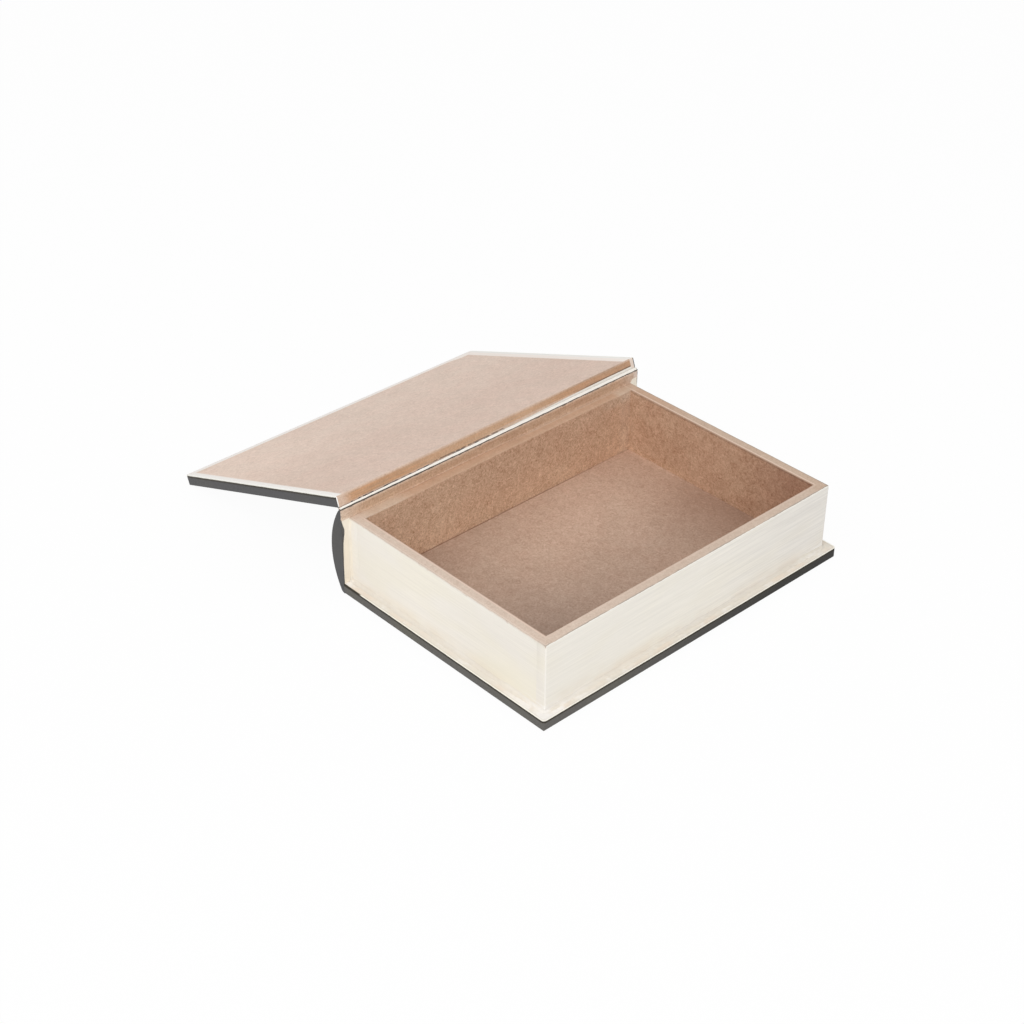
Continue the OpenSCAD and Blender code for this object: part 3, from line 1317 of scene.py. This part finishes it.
@dataclass(frozen=True)
class SpineSkinFinish:
    """The finish of the spine's skin: dark, with cream and raw tones lapping its inner edge.

    Attributes:
        inner: X of the skin's inner edge.
        end: Half the spine's length.
        tone: The skin's lightness.
        raw: What laps its inner edge above the rim, made lighter as painted light where the strip shades it.
    """

    inner: float
    end: float
    tone: float = 0.85
    raw: Colour = srgb(238, 214, 194)

    def material(self, block: "PageBlock") -> bpy.types.Material:
        """The material: paint covers the skin's cut edge on the rail's flat side, but not low at the tail.

        Args:
            block: The page block.

        Returns:
            The material.
        """
        paint = Paint("spine_skin_finish")
        x, y, z = paint.axes
        reach = 0.10 + 0.3 * paint.wander(4, 33, 3)
        lapped = (x - self.inner + reach).step(0.0, 0.12)
        up = z - block.top
        lapped = lapped * ((self.end + y).step(0.7, 1.0) | up.step(-0.6, 0.9))
        # Above the rim the lap is set light: painted light where the strip shades it.
        lap = paint.mix(up.step(-0.4, 0.4), PAGES.colour(paint, block.floor), self.raw)
        colour = paint.mix(lapped, paint.shade(COVERING.colour(paint), self.tone), lap)
        return COVERING.finish(paint, colour)


@dataclass(frozen=True)
class Rubbing:
    """Pale patches rubbed into the inner half of the laid-back cloth, along the lid's edge.

    Attributes:
        fold: X and Z of the strip's fold.
        turn: How far the strip is laid back, in radians.
        colour: The patches' colour.
    """

    fold: tuple[float, float]
    turn: float
    colour: Colour = srgb(204, 176, 156)

    def share(self, paint: Paint) -> Value:
        """Where the patches are: far from the fold and on the cloth's upper side as it lies open.

        Args:
            paint: The material.

        Returns:
            1 on the patches and 0 elsewhere.
        """
        out, up = paint.axes[0] - self.fold[0], paint.axes[2] - self.fold[1]
        deep = math.sin(self.turn) * out - math.cos(self.turn) * up
        return paint.noise(6, 29).step(0.42, 0.52) * out.step(-0.9, -1.3) * deep.step(0.15, 0.25)


@dataclass(frozen=True)
class ClothFinish:
    """A woven strip: threads along and across it, with a soft sheen.

    Attributes:
        name: The material's name.
        colour: The ground.
        thread: The raised threads.
        pitch: Width of a thread.
        relief: Height of the threads.
        woven: How much of the tone the weave makes; cloudy unevenness makes the rest.
        sheen: Strength of the sheen.
        rubbed: Where it is rubbed pale.
    """

    name: str
    colour: Colour
    thread: Colour
    pitch: float = 0.35
    relief: float = 0.03
    woven: float = 0.5
    sheen: float = 0.15
    rubbed: Rubbing | None = None

    def material(self) -> bpy.types.Material:
        """The material: two waves at right angles for the weave, with cloudy unevenness.

        Returns:
            The material.
        """
        paint = Paint(self.name)
        weave = 0.5 * (self.threads(paint, Y) + self.threads(paint, X))
        tone = paint.mix(self.woven * weave + (1 - self.woven) * paint.noise(3), self.colour, self.thread)
        if self.rubbed:
            tone = paint.mix(self.rubbed.share(paint), tone, self.rubbed.colour)
        return paint.finish(tone, 0.85, weave, self.relief, Sheen_Weight=self.sheen)

    def threads(self, paint: Paint, across: Axis) -> Value:
        """Waves across one direction, one thread wide.

        Args:
            paint: The material.
            across: The direction that the waves follow each other in.

        Returns:
            The waves, 0 to 1.
        """
        # At a scale of 1 the texture's waves are WAVE_LENGTH long.
        settings = {"wave_type": "BANDS", "bands_direction": across.name, "wave_profile": "SIN"}
        return paint.node("ShaderNodeTexWave", settings, {
            "Vector": paint.place, "Scale": WAVE_LENGTH / self.pitch, "Distortion": 0.6, "Detail": 1.0,
        }, "Fac")


# Sub-assemblies


@dataclass
class PageBlock:
    """The four walls of the tray, with softened arrises and the paint's fillet round their foot.

    Attributes:
        outer_arris: Radius of the outer arris.
        inner_arris: Radius of the inner arris.
        corner: Radius of the upright corners at the fore edge.
        uneven: How far the outsides bulge.
        fillet: Size of the fillet round the foot.
        corner_size: Size of the paint in the upright corners by the spine.
        rooted: How far the fillet reaches into the wall and into the floor.
        lifted: How far the fillet's lower edge lies above the floor.
    """

    outer_arris: float = 0.45
    inner_arris: float = 0.30
    corner: float = 0.8
    uneven: float = 0.07
    fillet: float = 2.0
    corner_size: float = 1.5
    rooted: tuple[float, float] = (0.1, 0.05)
    lifted: float = 0.01

    def build(self) -> None:
        """Builds and dresses the walls and the fillet."""
        back, fore, tail = (millimetres(node) for node in ("back_wall", "fore_edge_wall", "tail_wall"))
        self.fore, self.end = fore[1][0], fore[1][1]
        self.back = back[0][0]
        self.floor, self.top = fore[0][2], fore[1][2]
        self.thick = fore[1][0] - fore[0][0]
        sides = {"tail_wall": (X, -1), "head_wall": (X, 1), "fore_edge_wall": (Y, 1), "back_wall": (Y, -1)}
        for node, (along, side) in sides.items():
            slot = Slot.RAW_BOARD if node == "back_wall" else Slot.PAGE_EDGES
            piece = solid(node + "_painted", *carried(self.wall(node, along, side)))
            settle(piece, Body.TRAY, slot, WALLS[node].material(node, along, self), node)
        self.build_fillet()

    def wall(self, node: str, along: Axis, side: int) -> np.ndarray:
        """One wall as sections carried along it.

        Each section runs up the outside, over the outer arris, across the rim, over the inner arris and
        down the inside. The arrises are quarter circles, and the inner one fades out at the corners.

        Args:
            node: The CAD node that gives the wall's place.
            along: The direction that the wall runs in.
            side: On which side its outside is.

        Returns:
            The sections' places.
        """
        low, high = millimetres(node)
        run, across = along.value, 1 - along.value
        long_wall = along is Y
        place = stations(low[run], high[run], 2.0, self.corner)
        from_end = np.minimum(place - low[run], high[run] - place)
        seed = 11 + 2 * run + side
        outer = self.outer_arris * (1 + 0.3 * waviness(place, seed, 60) * fade(from_end - self.corner, 8))
        clear = from_end - (self.thick if long_wall else 0.0)
        inner = TOUCH + self.inner_arris * (2.2 if node == "back_wall" else 1.0) * fade(clear, 4)
        top = self.top - (rounding(from_end, self.outer_arris) if long_wall else 0 * from_end)
        pulled = rounding(from_end, self.corner) if node == "fore_edge_wall" else 0 * from_end
        turn = quarter_turn(6)
        rise = np.linspace(0, 1, 9)[:-1]
        out_w = np.repeat(pulled[:, None], len(rise), 1)
        out_z = self.floor + (top - outer - self.floor)[:, None] * rise
        bulge = self.uneven * waviness(place[:, None] + 3 * out_z, seed + 5, 90)
        bulge = bulge * fade(from_end - self.corner, 12)[:, None]
        out_w = out_w + bulge * fade(out_z - self.floor, 3) * fade(self.top - out_z, 4)
        arc_w = pulled[:, None] + outer[:, None] * (1 - np.cos(turn))
        arc_z = (top - outer)[:, None] + outer[:, None] * np.sin(turn)
        in_w = self.thick - inner[:, None] * (1 - np.sin(turn))
        in_z = (top - inner)[:, None] + inner[:, None] * np.cos(turn)
        w = np.concatenate([out_w, arc_w, in_w, np.full((len(place), 1), self.thick)], 1)
        z = np.concatenate([out_z, arc_z, in_z, np.full((len(place), 1), self.floor)], 1)
        sections = np.empty(w.shape + (3,))
        sections[..., run] = place[:, None]
        sections[..., across] = (high if side > 0 else low)[across] - side * w
        sections[..., 2] = z
        return sections

    def build_fillet(self) -> None:
        """The paint's fillet round the foot: a hollow quarter circle, c (1 - sin t, 1 - cos t), carried on.

        The path runs along one end wall, round its corner, a quarter circle, and up to the middle of the fore
        edge, and then the same way back, mirrored.
        """
        quarter = quarter_turn(9)
        corner_x = self.fore - self.corner + self.corner * np.sin(quarter)
        corner_y = -self.end + self.corner * (1 - np.cos(quarter))
        end_x = np.linspace(self.back, self.fore - self.corner, 90)[:-1]
        side_y = np.linspace(-self.end + self.corner, 0, 60)[1:]
        half = np.stack([
            np.concatenate([end_x, corner_x, np.full(len(side_y), self.fore)]),
            np.concatenate([np.full(len(end_x), -self.end), corner_y, side_y]),
        ], 1)
        path = np.concatenate([half, half[-2::-1] * (1, -1)])
        step = np.gradient(path, axis=0)
        outward = np.stack([step[:, 1], -step[:, 0]], 1) / np.linalg.norm(step, axis=1)[:, None]
        walked = np.cumsum(np.linalg.norm(step, axis=1))
        size = self.fillet * (1 + 0.25 * waviness(walked, 71, 45))
        t = quarter_turn(8)
        into_wall, into_floor = (np.full((len(path), 1), -depth) for depth in self.rooted)
        out = np.concatenate([size[:, None] * (1 - np.sin(t)), into_wall], 1)
        up = np.concatenate([size[:, None] * (1 - np.cos(t)), into_floor], 1)
        sections = np.empty(out.shape + (3,))
        sections[..., :2] = path[:, None] + out[..., None] * outward[:, None]
        sections[..., 2] = self.floor + self.lifted + up
        finish = FilletFinish().material(self)
        settle(solid("paint_fillet", *carried(sections)), Body.TRAY, Slot.PAGE_EDGES, finish)
        for name, side in (("tail", -1), ("head", 1)):
            piece = solid(f"paint_corner_{name}", *carried(self.corner_fillet(side)))
            settle(piece, Body.TRAY, Slot.PAGE_EDGES, finish)

    def corner_fillet(self, side: int) -> np.ndarray:
        """The paint in the upright corner between spine and wall: the same hollow quarter circle, carried up.

        Args:
            side: -1 for the tail and 1 for the head.

        Returns:
            The sections' places.
        """
        z = np.linspace(self.floor, self.top - 1.2, 60)
        size = self.corner_size * (1 + 0.25 * waviness(z, 83 + side, 18)) * (0.25 + 0.75 * fade(z[-1] - z, 5))
        t = quarter_turn(8)
        behind = np.full((len(z), 1), -TOUCH)
        x = self.back + np.concatenate([size[:, None] * (1 - np.sin(t)), behind], 1)
        out = np.concatenate([size[:, None] * (1 - np.cos(t)), behind], 1)
        sections = np.empty(x.shape + (3,))
        sections[..., 0] = x
        sections[..., 1] = side * (self.end + out)
        sections[..., 2] = z[:, None]
        return sections


@dataclass
class Covers:
    """The back cover under the tray.

    Attributes:
        unpainted: How far past the block's back the base's cut edge stays dark.
        painted_falloff: Painted shade: how much darker the base's skin gets towards the head, as the light
            falls off.
        tone: Its lightness at the tail, raised as painted light where the skin catches the light.
        gloss: How much it reflects.
    """

    unpainted: float = 13.0
    painted_falloff: float = 0.66
    tone: float = 1.55
    gloss: float = 0.1

    def build(self, block: PageBlock) -> None:
        """Dresses the base board and its skin, whose cut edge is painted from a place past the spine on.

        Args:
            block: The page block, whose places it follows.
        """
        dress("base_board", BaseFinish().material(block))
        finish = CoverSkinFinish(
            "base_skin_finish", block.floor, 1.0, painted_from=block.back + self.unpainted,
            painted_falloff=self.painted_falloff, tone=self.tone, gloss=self.gloss, covering=LIT_COVERING,
        )
        dress("base_covering", finish.material())


@dataclass
class Spine:
    """The rounded spine: its rail, its skin and the ragged turned-in edge of the skin.

    Attributes:
        arris: Radius of the arris at both ends.
        skin: Thickness of the skin.
        land: Width of the flat land along each inner edge.
        heels: Radii of the bottom heel and the top heel.
        turned_in: How far the turned-in edge stands off the rail.
        turn_in_heights: Heights at which that edge's width is given.
        turn_in_widths: Its widths there.
    """

    arris: float = 0.5
    skin: float = SKIN_THICK
    land: float = 1.83
    heels: tuple[float, float] = (3.2, 2.6)
    turned_in: float = 0.12
    turn_in_heights: tuple[float, ...] = (7, 19, 29, 34, 37, 39, 41, 43, 45, 47, 49.6)
    turn_in_widths: tuple[float, ...] = (0.1, 0.45, 0.78, 1.0, 1.4, 1.85, 2.0, 1.8, 1.35, 0.7, 0.08)

    def build(self, block: PageBlock) -> None:
        """Builds the skin and its turned-in edge and dresses the rail.

        Args:
            block: The page block, whose places it follows.
        """
        self.low, self.high = millimetres("spine_covering")
        dress("spine_rail", RailFinish().material(block))
        self.build_skin(block)
        self.build_turn_in()

    def outline(self, inset: np.ndarray, count: int) -> np.ndarray:
        """The spine's outline in X and Z: a land, the arc and the other land, drawn in by an inset.

        The arc is the circle through the crown and the two land edges. A smaller circle, the heel, that
        touches both the land and the arc rounds each end of the arc, the bottom one more than the top one.

        Args:
            inset: How far each outline is drawn in.
            count: Number of points on the arc.

        Returns:
            An array of (insets, points, 2) places.
        """
        inner, bottom, top = self.high[0], self.low[2], self.high[2]
        middle = (bottom + top) / 2
        crown = inner - self.land - self.low[0]
        radius = ((top - middle) ** 2 + crown ** 2) / (2 * crown)
        centre = self.low[0] + radius
        shrunk, half = (radius - inset)[:, None], (top - middle - inset)[:, None]
        heel = [np.maximum(size - inset, 0.2)[:, None] for size in self.heels]
        reach = [np.arcsin((half - small) / (shrunk - small)) for small in heel]
        turn = [np.pi / 2 + (angle - np.pi / 2) * np.linspace(0, 1, 7)[:-1] for angle in reach]
        low_x, high_x = (
            centre - (shrunk - small) * np.cos(angle) - small * np.cos(t)
            for small, angle, t in zip(heel, reach, turn)
        )
        low_z, high_z = (half - small + small * np.sin(t) for small, t in zip(heel, turn))
        arc = -reach[0] + (reach[0] + reach[1]) * np.linspace(0, 1, count)
        edge = np.full((len(inset), 1), inner)
        x = np.concatenate([edge, low_x, centre - shrunk * np.cos(arc), high_x[:, ::-1], edge], 1)
        z = np.concatenate([-half, -low_z, shrunk * np.sin(arc), high_z[:, ::-1], half], 1)
        return np.stack([x, middle + z], -1)

    def build_skin(self, block: PageBlock) -> None:
        """The skin: outlines carried along the spine, drawn in over a rounded arris at both ends.

        Inside it the same outlines, one skin's thickness smaller and shorter, run back, so that the skin is a
        closed shell that is open only towards the rail's flat side.

        Args:
            block: The page block, whose places its finish follows.
        """
        t = quarter_turn(7)
        inset = self.arris * (1 - np.sin(t))
        place = self.high[1] - self.arris * (1 - np.cos(t))
        middle = np.linspace(-place[-1], place[-1], 40)[1:-1]
        y = np.concatenate([-place, middle, place[::-1]])
        rings = self.outline(np.concatenate([inset, 0 * middle, inset[::-1]]), 65)
        outer = np.insert(rings, 1, y[:, None], axis=2)
        inner_y = np.array([-1.0, 1.0]) * (self.high[1] - self.skin)
        inner = np.insert(self.outline(np.full(2, self.skin), 65), 1, inner_y[:, None], axis=2)
        shell = np.concatenate([outer, inner[::-1]])
        count, corners = shell.shape[:2]
        here = np.arange(count * corners).reshape(count, corners)
        last = len(outer) - 1
        strips = [here[:last + 1], here[last + 1:]]
        quads = [
            np.stack([s[:-1, :-1], s[:-1, 1:], s[1:, 1:], s[1:, :-1]], -1).reshape(-1, 4) for s in strips
        ]
        faces = np.concatenate(quads).tolist()
        faces += [here[0].tolist(), here[last].tolist(), here[last + 1].tolist(), here[last + 2].tolist()]
        lands = [[here[:last + 1, side], here[last + 1:, side]] for side in (0, -1)]
        faces += [outer_edge.tolist() + inner_edge.tolist() for outer_edge, inner_edge in lands]
        faces += [
            [here[0, 0], here[0, -1], here[last + 2, -1], here[last + 2, 0]],
            [here[last, 0], here[last, -1], here[last + 1, -1], here[last + 1, 0]],
        ]
        piece = solid("spine_skin", shell.reshape(-1, 3), [[int(i) for i in face] for face in faces])
        finish = SpineSkinFinish(self.high[0], self.high[1]).material(block)
        settle(piece, Body.TRAY, Slot.DARK_COVERING, finish, "spine_covering")

    def build_turn_in(self) -> None:
        """The skin's ragged edge turned in over the rail's flat side at the tail: a strip of varied width."""
        paint = Paint("turn_in_finish")
        finish = COVERING.finish(paint, COVERING.colour(paint))
        height = np.linspace(self.turn_in_heights[0], self.turn_in_heights[-1], 120)
        wide = np.interp(height, self.turn_in_heights, self.turn_in_widths)
        width = np.maximum(wide * (1 + 0.08 * waviness(height, 5, 16)), 0.05)
        out = self.high[1] - 0.05
        across = np.stack([out + 0 * width, out - 0.9 * width, out - width, out - width, out + 0 * width], 1)
        proud = self.turned_in * np.array([1.0, 1.0, 0.5, -0.3, -0.3])
        sections = np.empty(across.shape + (3,))
        sections[..., 0] = self.high[0] + proud
        sections[..., 1] = -across
        sections[..., 2] = height[:, None]
        settle(solid("spine_turn_in", *carried(sections)), Body.TRAY, Slot.DARK_COVERING, finish)


@dataclass
class Lid:
    """The front cover, which is the lid.

    Attributes:
        joint: The lid's joint in the frame.
        arris: Radius of the arris along the hinge edge.
        corner: Radius of the board's two fore corners.
        board: Thickness of the board.
        skin: Thickness of the skin.
        strip: How far the hinge edge lies past the block's back, which is the hinge strip's width.
        seat: How far the closed lid lies above the rim.
    """

    joint: dict
    arris: float = 0.6
    corner: float = 1.4
    board: float = BOARD_THICK
    skin: float = SKIN_THICK
    strip: float = 2.2
    seat: float = 0.2

    def build(self, block: PageBlock) -> None:
        """Builds the board and dresses it and the skin in the closed lid's coordinates.

        Args:
            block: The page block, whose places it follows.
        """
        turn = self.joint["range_deg"][1]
        self.axis = np.array([self.joint["pos_m"][0], 0, self.joint["pos_m"][2]]) / MM
        about = (self.axis[0], self.axis[2])
        high = millimetres("base_covering")[1]
        self.hinge_edge, self.inner = block.back + self.strip, block.top + self.seat
        self.fore, self.end = high[0], high[1]
        finish = LidBoardFinish(
            turn, about, self.hinge_edge, self.inner, self.fore, self.end, self.fore - block.fore,
        ).material()
        opened = self.board_sections() - self.axis
        back = Matrix.Rotation(-math.radians(turn), 3, "Y")
        piece = solid("lid_board_softened", *carried(opened @ np.array(back).T + self.axis))
        settle(piece, Body.LID, Slot.RAW_BOARD, finish, "lid_board")
        skin = CoverSkinFinish(
            "lid_skin_finish", self.inner, -1.0, turn, about, lap=0.2, hinge=self.hinge_edge,
            hinge_end=self.end - self.skin, bare_from=self.fore - self.skin - 0.1,
        )
        dress("lid_covering", skin.material())

    def board_sections(self) -> np.ndarray:
        """The board as sections carried along it in its closed place.

        Each section runs from the fore edge along the inner face, over a softened arris, a quarter circle, to
        the hinge edge and back along the outer face. The fore edge falls back round both corners.

        Returns:
            The sections' places.
        """
        y = stations(self.skin - self.end, self.end - self.skin, 3.0, self.corner)
        from_end = np.minimum(y - y[0], y[-1] - y)
        fore = (self.fore - self.skin - rounding(from_end, self.corner))[:, None]
        soft = self.arris * (1 + 0.3 * waviness(y, 23, 50))[:, None]
        turn = quarter_turn(7)
        x = np.concatenate([
            fore, self.hinge_edge + soft * (1 - np.sin(turn)), 0 * fore + self.hinge_edge, fore,
        ], 1)
        z = np.concatenate([
            0 * fore + self.inner, self.inner + soft * (1 - np.cos(turn)),
            0 * fore + self.inner + self.board, 0 * fore + self.inner + self.board,
        ], 1)
        return np.stack([x, np.repeat(y[:, None], x.shape[1], 1), z], -1)


@dataclass
class HingeStrip:
    """The strip of cloth and lining that is the hinge, a little uneven along both edges.

    Attributes:
        width: Width of the strip.
        cloth: Thickness of the cloth.
        whole: Thickness of cloth and lining together.
        flat: How far beside a rounded edge a face has its next line of points.
        cloth_edges: How far the cloth's two edges lie from the fold.
        lining_tail: The same of the lining at the tail.
        lining_head: The same of the lining from the middle on.
        shorter: How much the lining falls short of the cloth at each end.
    """

    width: float = 2.2
    cloth: float = 0.35
    whole: float = SKIN_THICK
    flat: float = 0.1
    cloth_edges: tuple[float, float] = (0.06, 2.14)
    lining_tail: tuple[float, float] = (0.62, 1.86)
    lining_head: tuple[float, float] = (0.30, 2.15)
    shorter: float = 0.4

    def build(self, joint: dict) -> None:
        """Builds both layers.

        Args:
            joint: The strip's joint, which gives the fold's place and how far it is laid back.
        """
        self.fold = (joint["pos_m"][0] / MM, joint["pos_m"][2] / MM)
        self.turn = math.radians(joint["range_deg"][1])
        end = millimetres("hinge_cloth")[1][1]
        rubbed = Rubbing(self.fold, self.turn)
        cloth = ClothFinish("hinge_cloth_finish", srgb(48, 40, 32), srgb(92, 80, 66), rubbed=rubbed)
        lining = ClothFinish(
            "hinge_lining_finish", srgb(243, 238, 229), srgb(248, 245, 238), relief=0.004, woven=0.15,
        )
        outer = self.layer(end, self.cloth_edges, self.cloth_edges, (0.0, self.cloth), 0.04, 3)
        piece = solid("hinge_cloth_woven", *carried(outer))
        settle(piece, Body.HINGE_STRIP, Slot.HINGE_CLOTH, cloth.material(), "hinge_cloth")
        inner_depths = (self.cloth, self.whole)
        inner = self.layer(end - self.shorter, self.lining_tail, self.lining_head, inner_depths, 0.09, 17)
        piece = solid("hinge_lining_woven", *carried(inner))
        settle(piece, Body.HINGE_STRIP, Slot.HINGE_LINING, lining.material(), "hinge_lining")

    def layer(
        self, end: float, tail: tuple[float, float], head: tuple[float, float], depths: tuple[float, float],
        ragged: float, seed: int,
    ) -> np.ndarray:
        """One layer: a flat section with rounded edges carried along the strip, then laid back by the turn.

        Args:
            end: Half its length.
            tail: How far its two edges lie from the fold at the tail.
            head: The same from the middle on; up to there they run in a soft curve.
            depths: Its two faces' depths below the closed box's outer face.
            ragged: How far its edges wander.
            seed: Seed of that wandering.

        Returns:
            The sections' places.
        """
        y = stations(-end, end, 0.7, 0.4)
        along = fade(y + end, 1.15 * end)
        near = tail[0] + (head[0] - tail[0]) * along + ragged * waviness(y, seed, 14)
        far = tail[1] + (head[1] - tail[1]) * along + ragged * waviness(y, seed + 1, 11)
        far = np.minimum(far, self.width - 0.05)
        radius = (depths[1] - depths[0]) / 2
        t = np.linspace(-np.pi / 2, np.pi / 2, 6)
        out = np.concatenate([[-self.flat], radius * np.cos(t), [-self.flat]])
        across = np.concatenate([far[:, None] - radius + out, near[:, None] + radius - out], 1)
        up = np.concatenate([[-radius], radius * np.sin(t), [radius]])
        deep = (depths[0] + depths[1]) / 2 + np.concatenate([up, -up])
        sections = np.empty(across.shape + (3,))
        sections[..., 0] = self.fold[0] + across * math.cos(self.turn) + deep * math.sin(self.turn)
        sections[..., 1] = y[:, None]
        sections[..., 2] = self.fold[1] + across * math.sin(self.turn) - deep * math.cos(self.turn)
        return sections


@dataclass(frozen=True)
class Studio:
    """A pale floor, a white surround and soft lamps.

    Attributes:
        ambient: Strength of the surround's light on the object.
        key_place: Place of the main lamp in metres.
        key_size: Its side in metres.
        key_power: Its power in watts.
        fill_place: Place of the weaker lamp in metres.
        fill_size: Its side in metres.
        fill_power: Its power in watts.
        aim: What both lamps point at, in metres.
        floor_glow: Share of plain white in the floor where it is seen directly.
        floor_size: Side of the floor in metres.
        floor_white: Colour of the floor under the lamps.
    """

    ambient: float = 0.62
    key_place: Triple = (0.35, -1.05, 1.35)
    key_size: float = 1.3
    key_power: float = 13.0
    fill_place: Triple = (1.2, 0.1, 1.1)
    fill_size: float = 1.2
    fill_power: float = 3.0
    aim: Triple = (-0.05, 0.0, 0.03)
    floor_glow: float = 0.96
    floor_size: float = 8.0
    floor_white: Colour = (0.86, 0.86, 0.86, 1.0)

    def build(self) -> None:
        """Builds the floor, the world and the lamps, and sets the view."""
        bpy.context.scene.view_settings.view_transform = "Standard"
        self.build_floor()
        self.build_world()
        self.lamp("key_lamp", self.key_place, self.key_size, self.key_power)
        self.lamp("fill_lamp", self.fill_place, self.fill_size, self.fill_power)

    def build_floor(self) -> None:
        """A flat square of diffuse white that glows where it is seen directly, which keeps shadows faint."""
        half = self.floor_size / 2
        mesh = bpy.data.meshes.new("floor")
        corners = np.array([[-1, -1, 0], [1, -1, 0], [1, 1, 0], [-1, 1, 0]]) * half
        mesh.from_pydata(corners.tolist(), [], [[0, 1, 2, 3]])
        floor = bpy.data.objects.new("floor", mesh)
        bpy.context.scene.collection.objects.link(floor)
        material = bpy.data.materials.new("floor_white")
        material.use_nodes = True
        tree = Tree(material.node_tree)
        matt = tree.node("ShaderNodeBsdfDiffuse", None, {"Color": self.floor_white})
        glow = tree.node("ShaderNodeEmission", None, {"Color": WHITE, "Strength": 1.0})
        share = self.floor_glow * tree.seen_directly()
        both = tree.node("ShaderNodeMixShader", None, {0: share, 1: matt, 2: glow})
        tree.node("ShaderNodeOutputMaterial", None, {"Surface": both})
        mesh.materials.append(material)
        floor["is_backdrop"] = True

    def build_world(self) -> None:
        """White for what is seen directly, and the plain ambient level for the light on the object."""
        world = bpy.data.worlds.new("surround")
        bpy.context.scene.world = world
        world.use_nodes = True
        tree = Tree(world.node_tree)
        strength = self.ambient + (1 - self.ambient) * tree.seen_directly()
        white = tree.node("ShaderNodeBackground", None, {"Color": WHITE, "Strength": strength})
        tree.node("ShaderNodeOutputWorld", None, {"Surface": white})

    def lamp(self, name: str, place: Triple, size: float, power: float) -> None:
        """A square lamp that points at the object.

        Args:
            name: Its name.
            place: Its place in metres.
            size: Its side in metres.
            power: Its power in watts.
        """
        data = bpy.data.lights.new(name, "AREA")
        data.size, data.energy = size, power
        made = bpy.data.objects.new(name, data)
        made.location = place
        made.rotation_euler = (Vector(self.aim) - Vector(place)).to_track_quat("-Z", "Y").to_euler()
        bpy.context.scene.collection.objects.link(made)


@dataclass(frozen=True)
class Camera:
    """The camera at the photograph's viewpoint.

    Attributes:
        place: Its place in metres.
        heading: Turn about the upright in degrees.
        pitch: Tilt up from looking straight down, in degrees.
        roll: Turn about the line of sight in degrees.
        lens: Focal length.
        sensor: Width of the sensor.
    """

    place: Triple = (0.6252, -0.6438, 0.6388)
    heading: float = 47.0122
    pitch: float = 56.3029
    roll: float = 0.4042
    lens: float = 68.04
    sensor: float = 36.0

    def build(self) -> None:
        """Makes the camera and puts it in use."""
        data = bpy.data.cameras.new("camera")
        data.lens, data.sensor_width = self.lens, self.sensor
        made = bpy.data.objects.new("camera", data)
        turn = Matrix.Rotation(math.radians(self.heading), 4, "Z")
        turn = turn @ Matrix.Rotation(math.radians(self.pitch), 4, "X")
        turn = turn @ Matrix.Rotation(math.radians(self.roll), 4, "Z")
        made.matrix_world = Matrix.Translation(self.place) @ turn
        bpy.context.scene.collection.objects.link(made)
        bpy.context.scene.camera = made


def corners(box: tuple[Vector, Vector]) -> list[list[float]]:
    """A box's two corners as plain lists."""
    return [list(map(float, corner)) for corner in box]


def main() -> None:
    """Builds the camera, the studio and the sub-assemblies in order."""
    logging.basicConfig(level=logging.INFO, format="%(message)s")
    joints = {joint["name"]: joint for joint in frame["joints"]}
    Camera().build()
    Studio().build()
    block = PageBlock()
    block.build()
    Covers().build(block)
    Spine().build(block)
    Lid(joints["lid_hinge"]).build(block)
    HingeStrip().build(joints["strip_fold"])
    {"cad": corners(CAD_BOX), "visual": corners(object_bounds())}


if __name__ == "__main__":
    main()
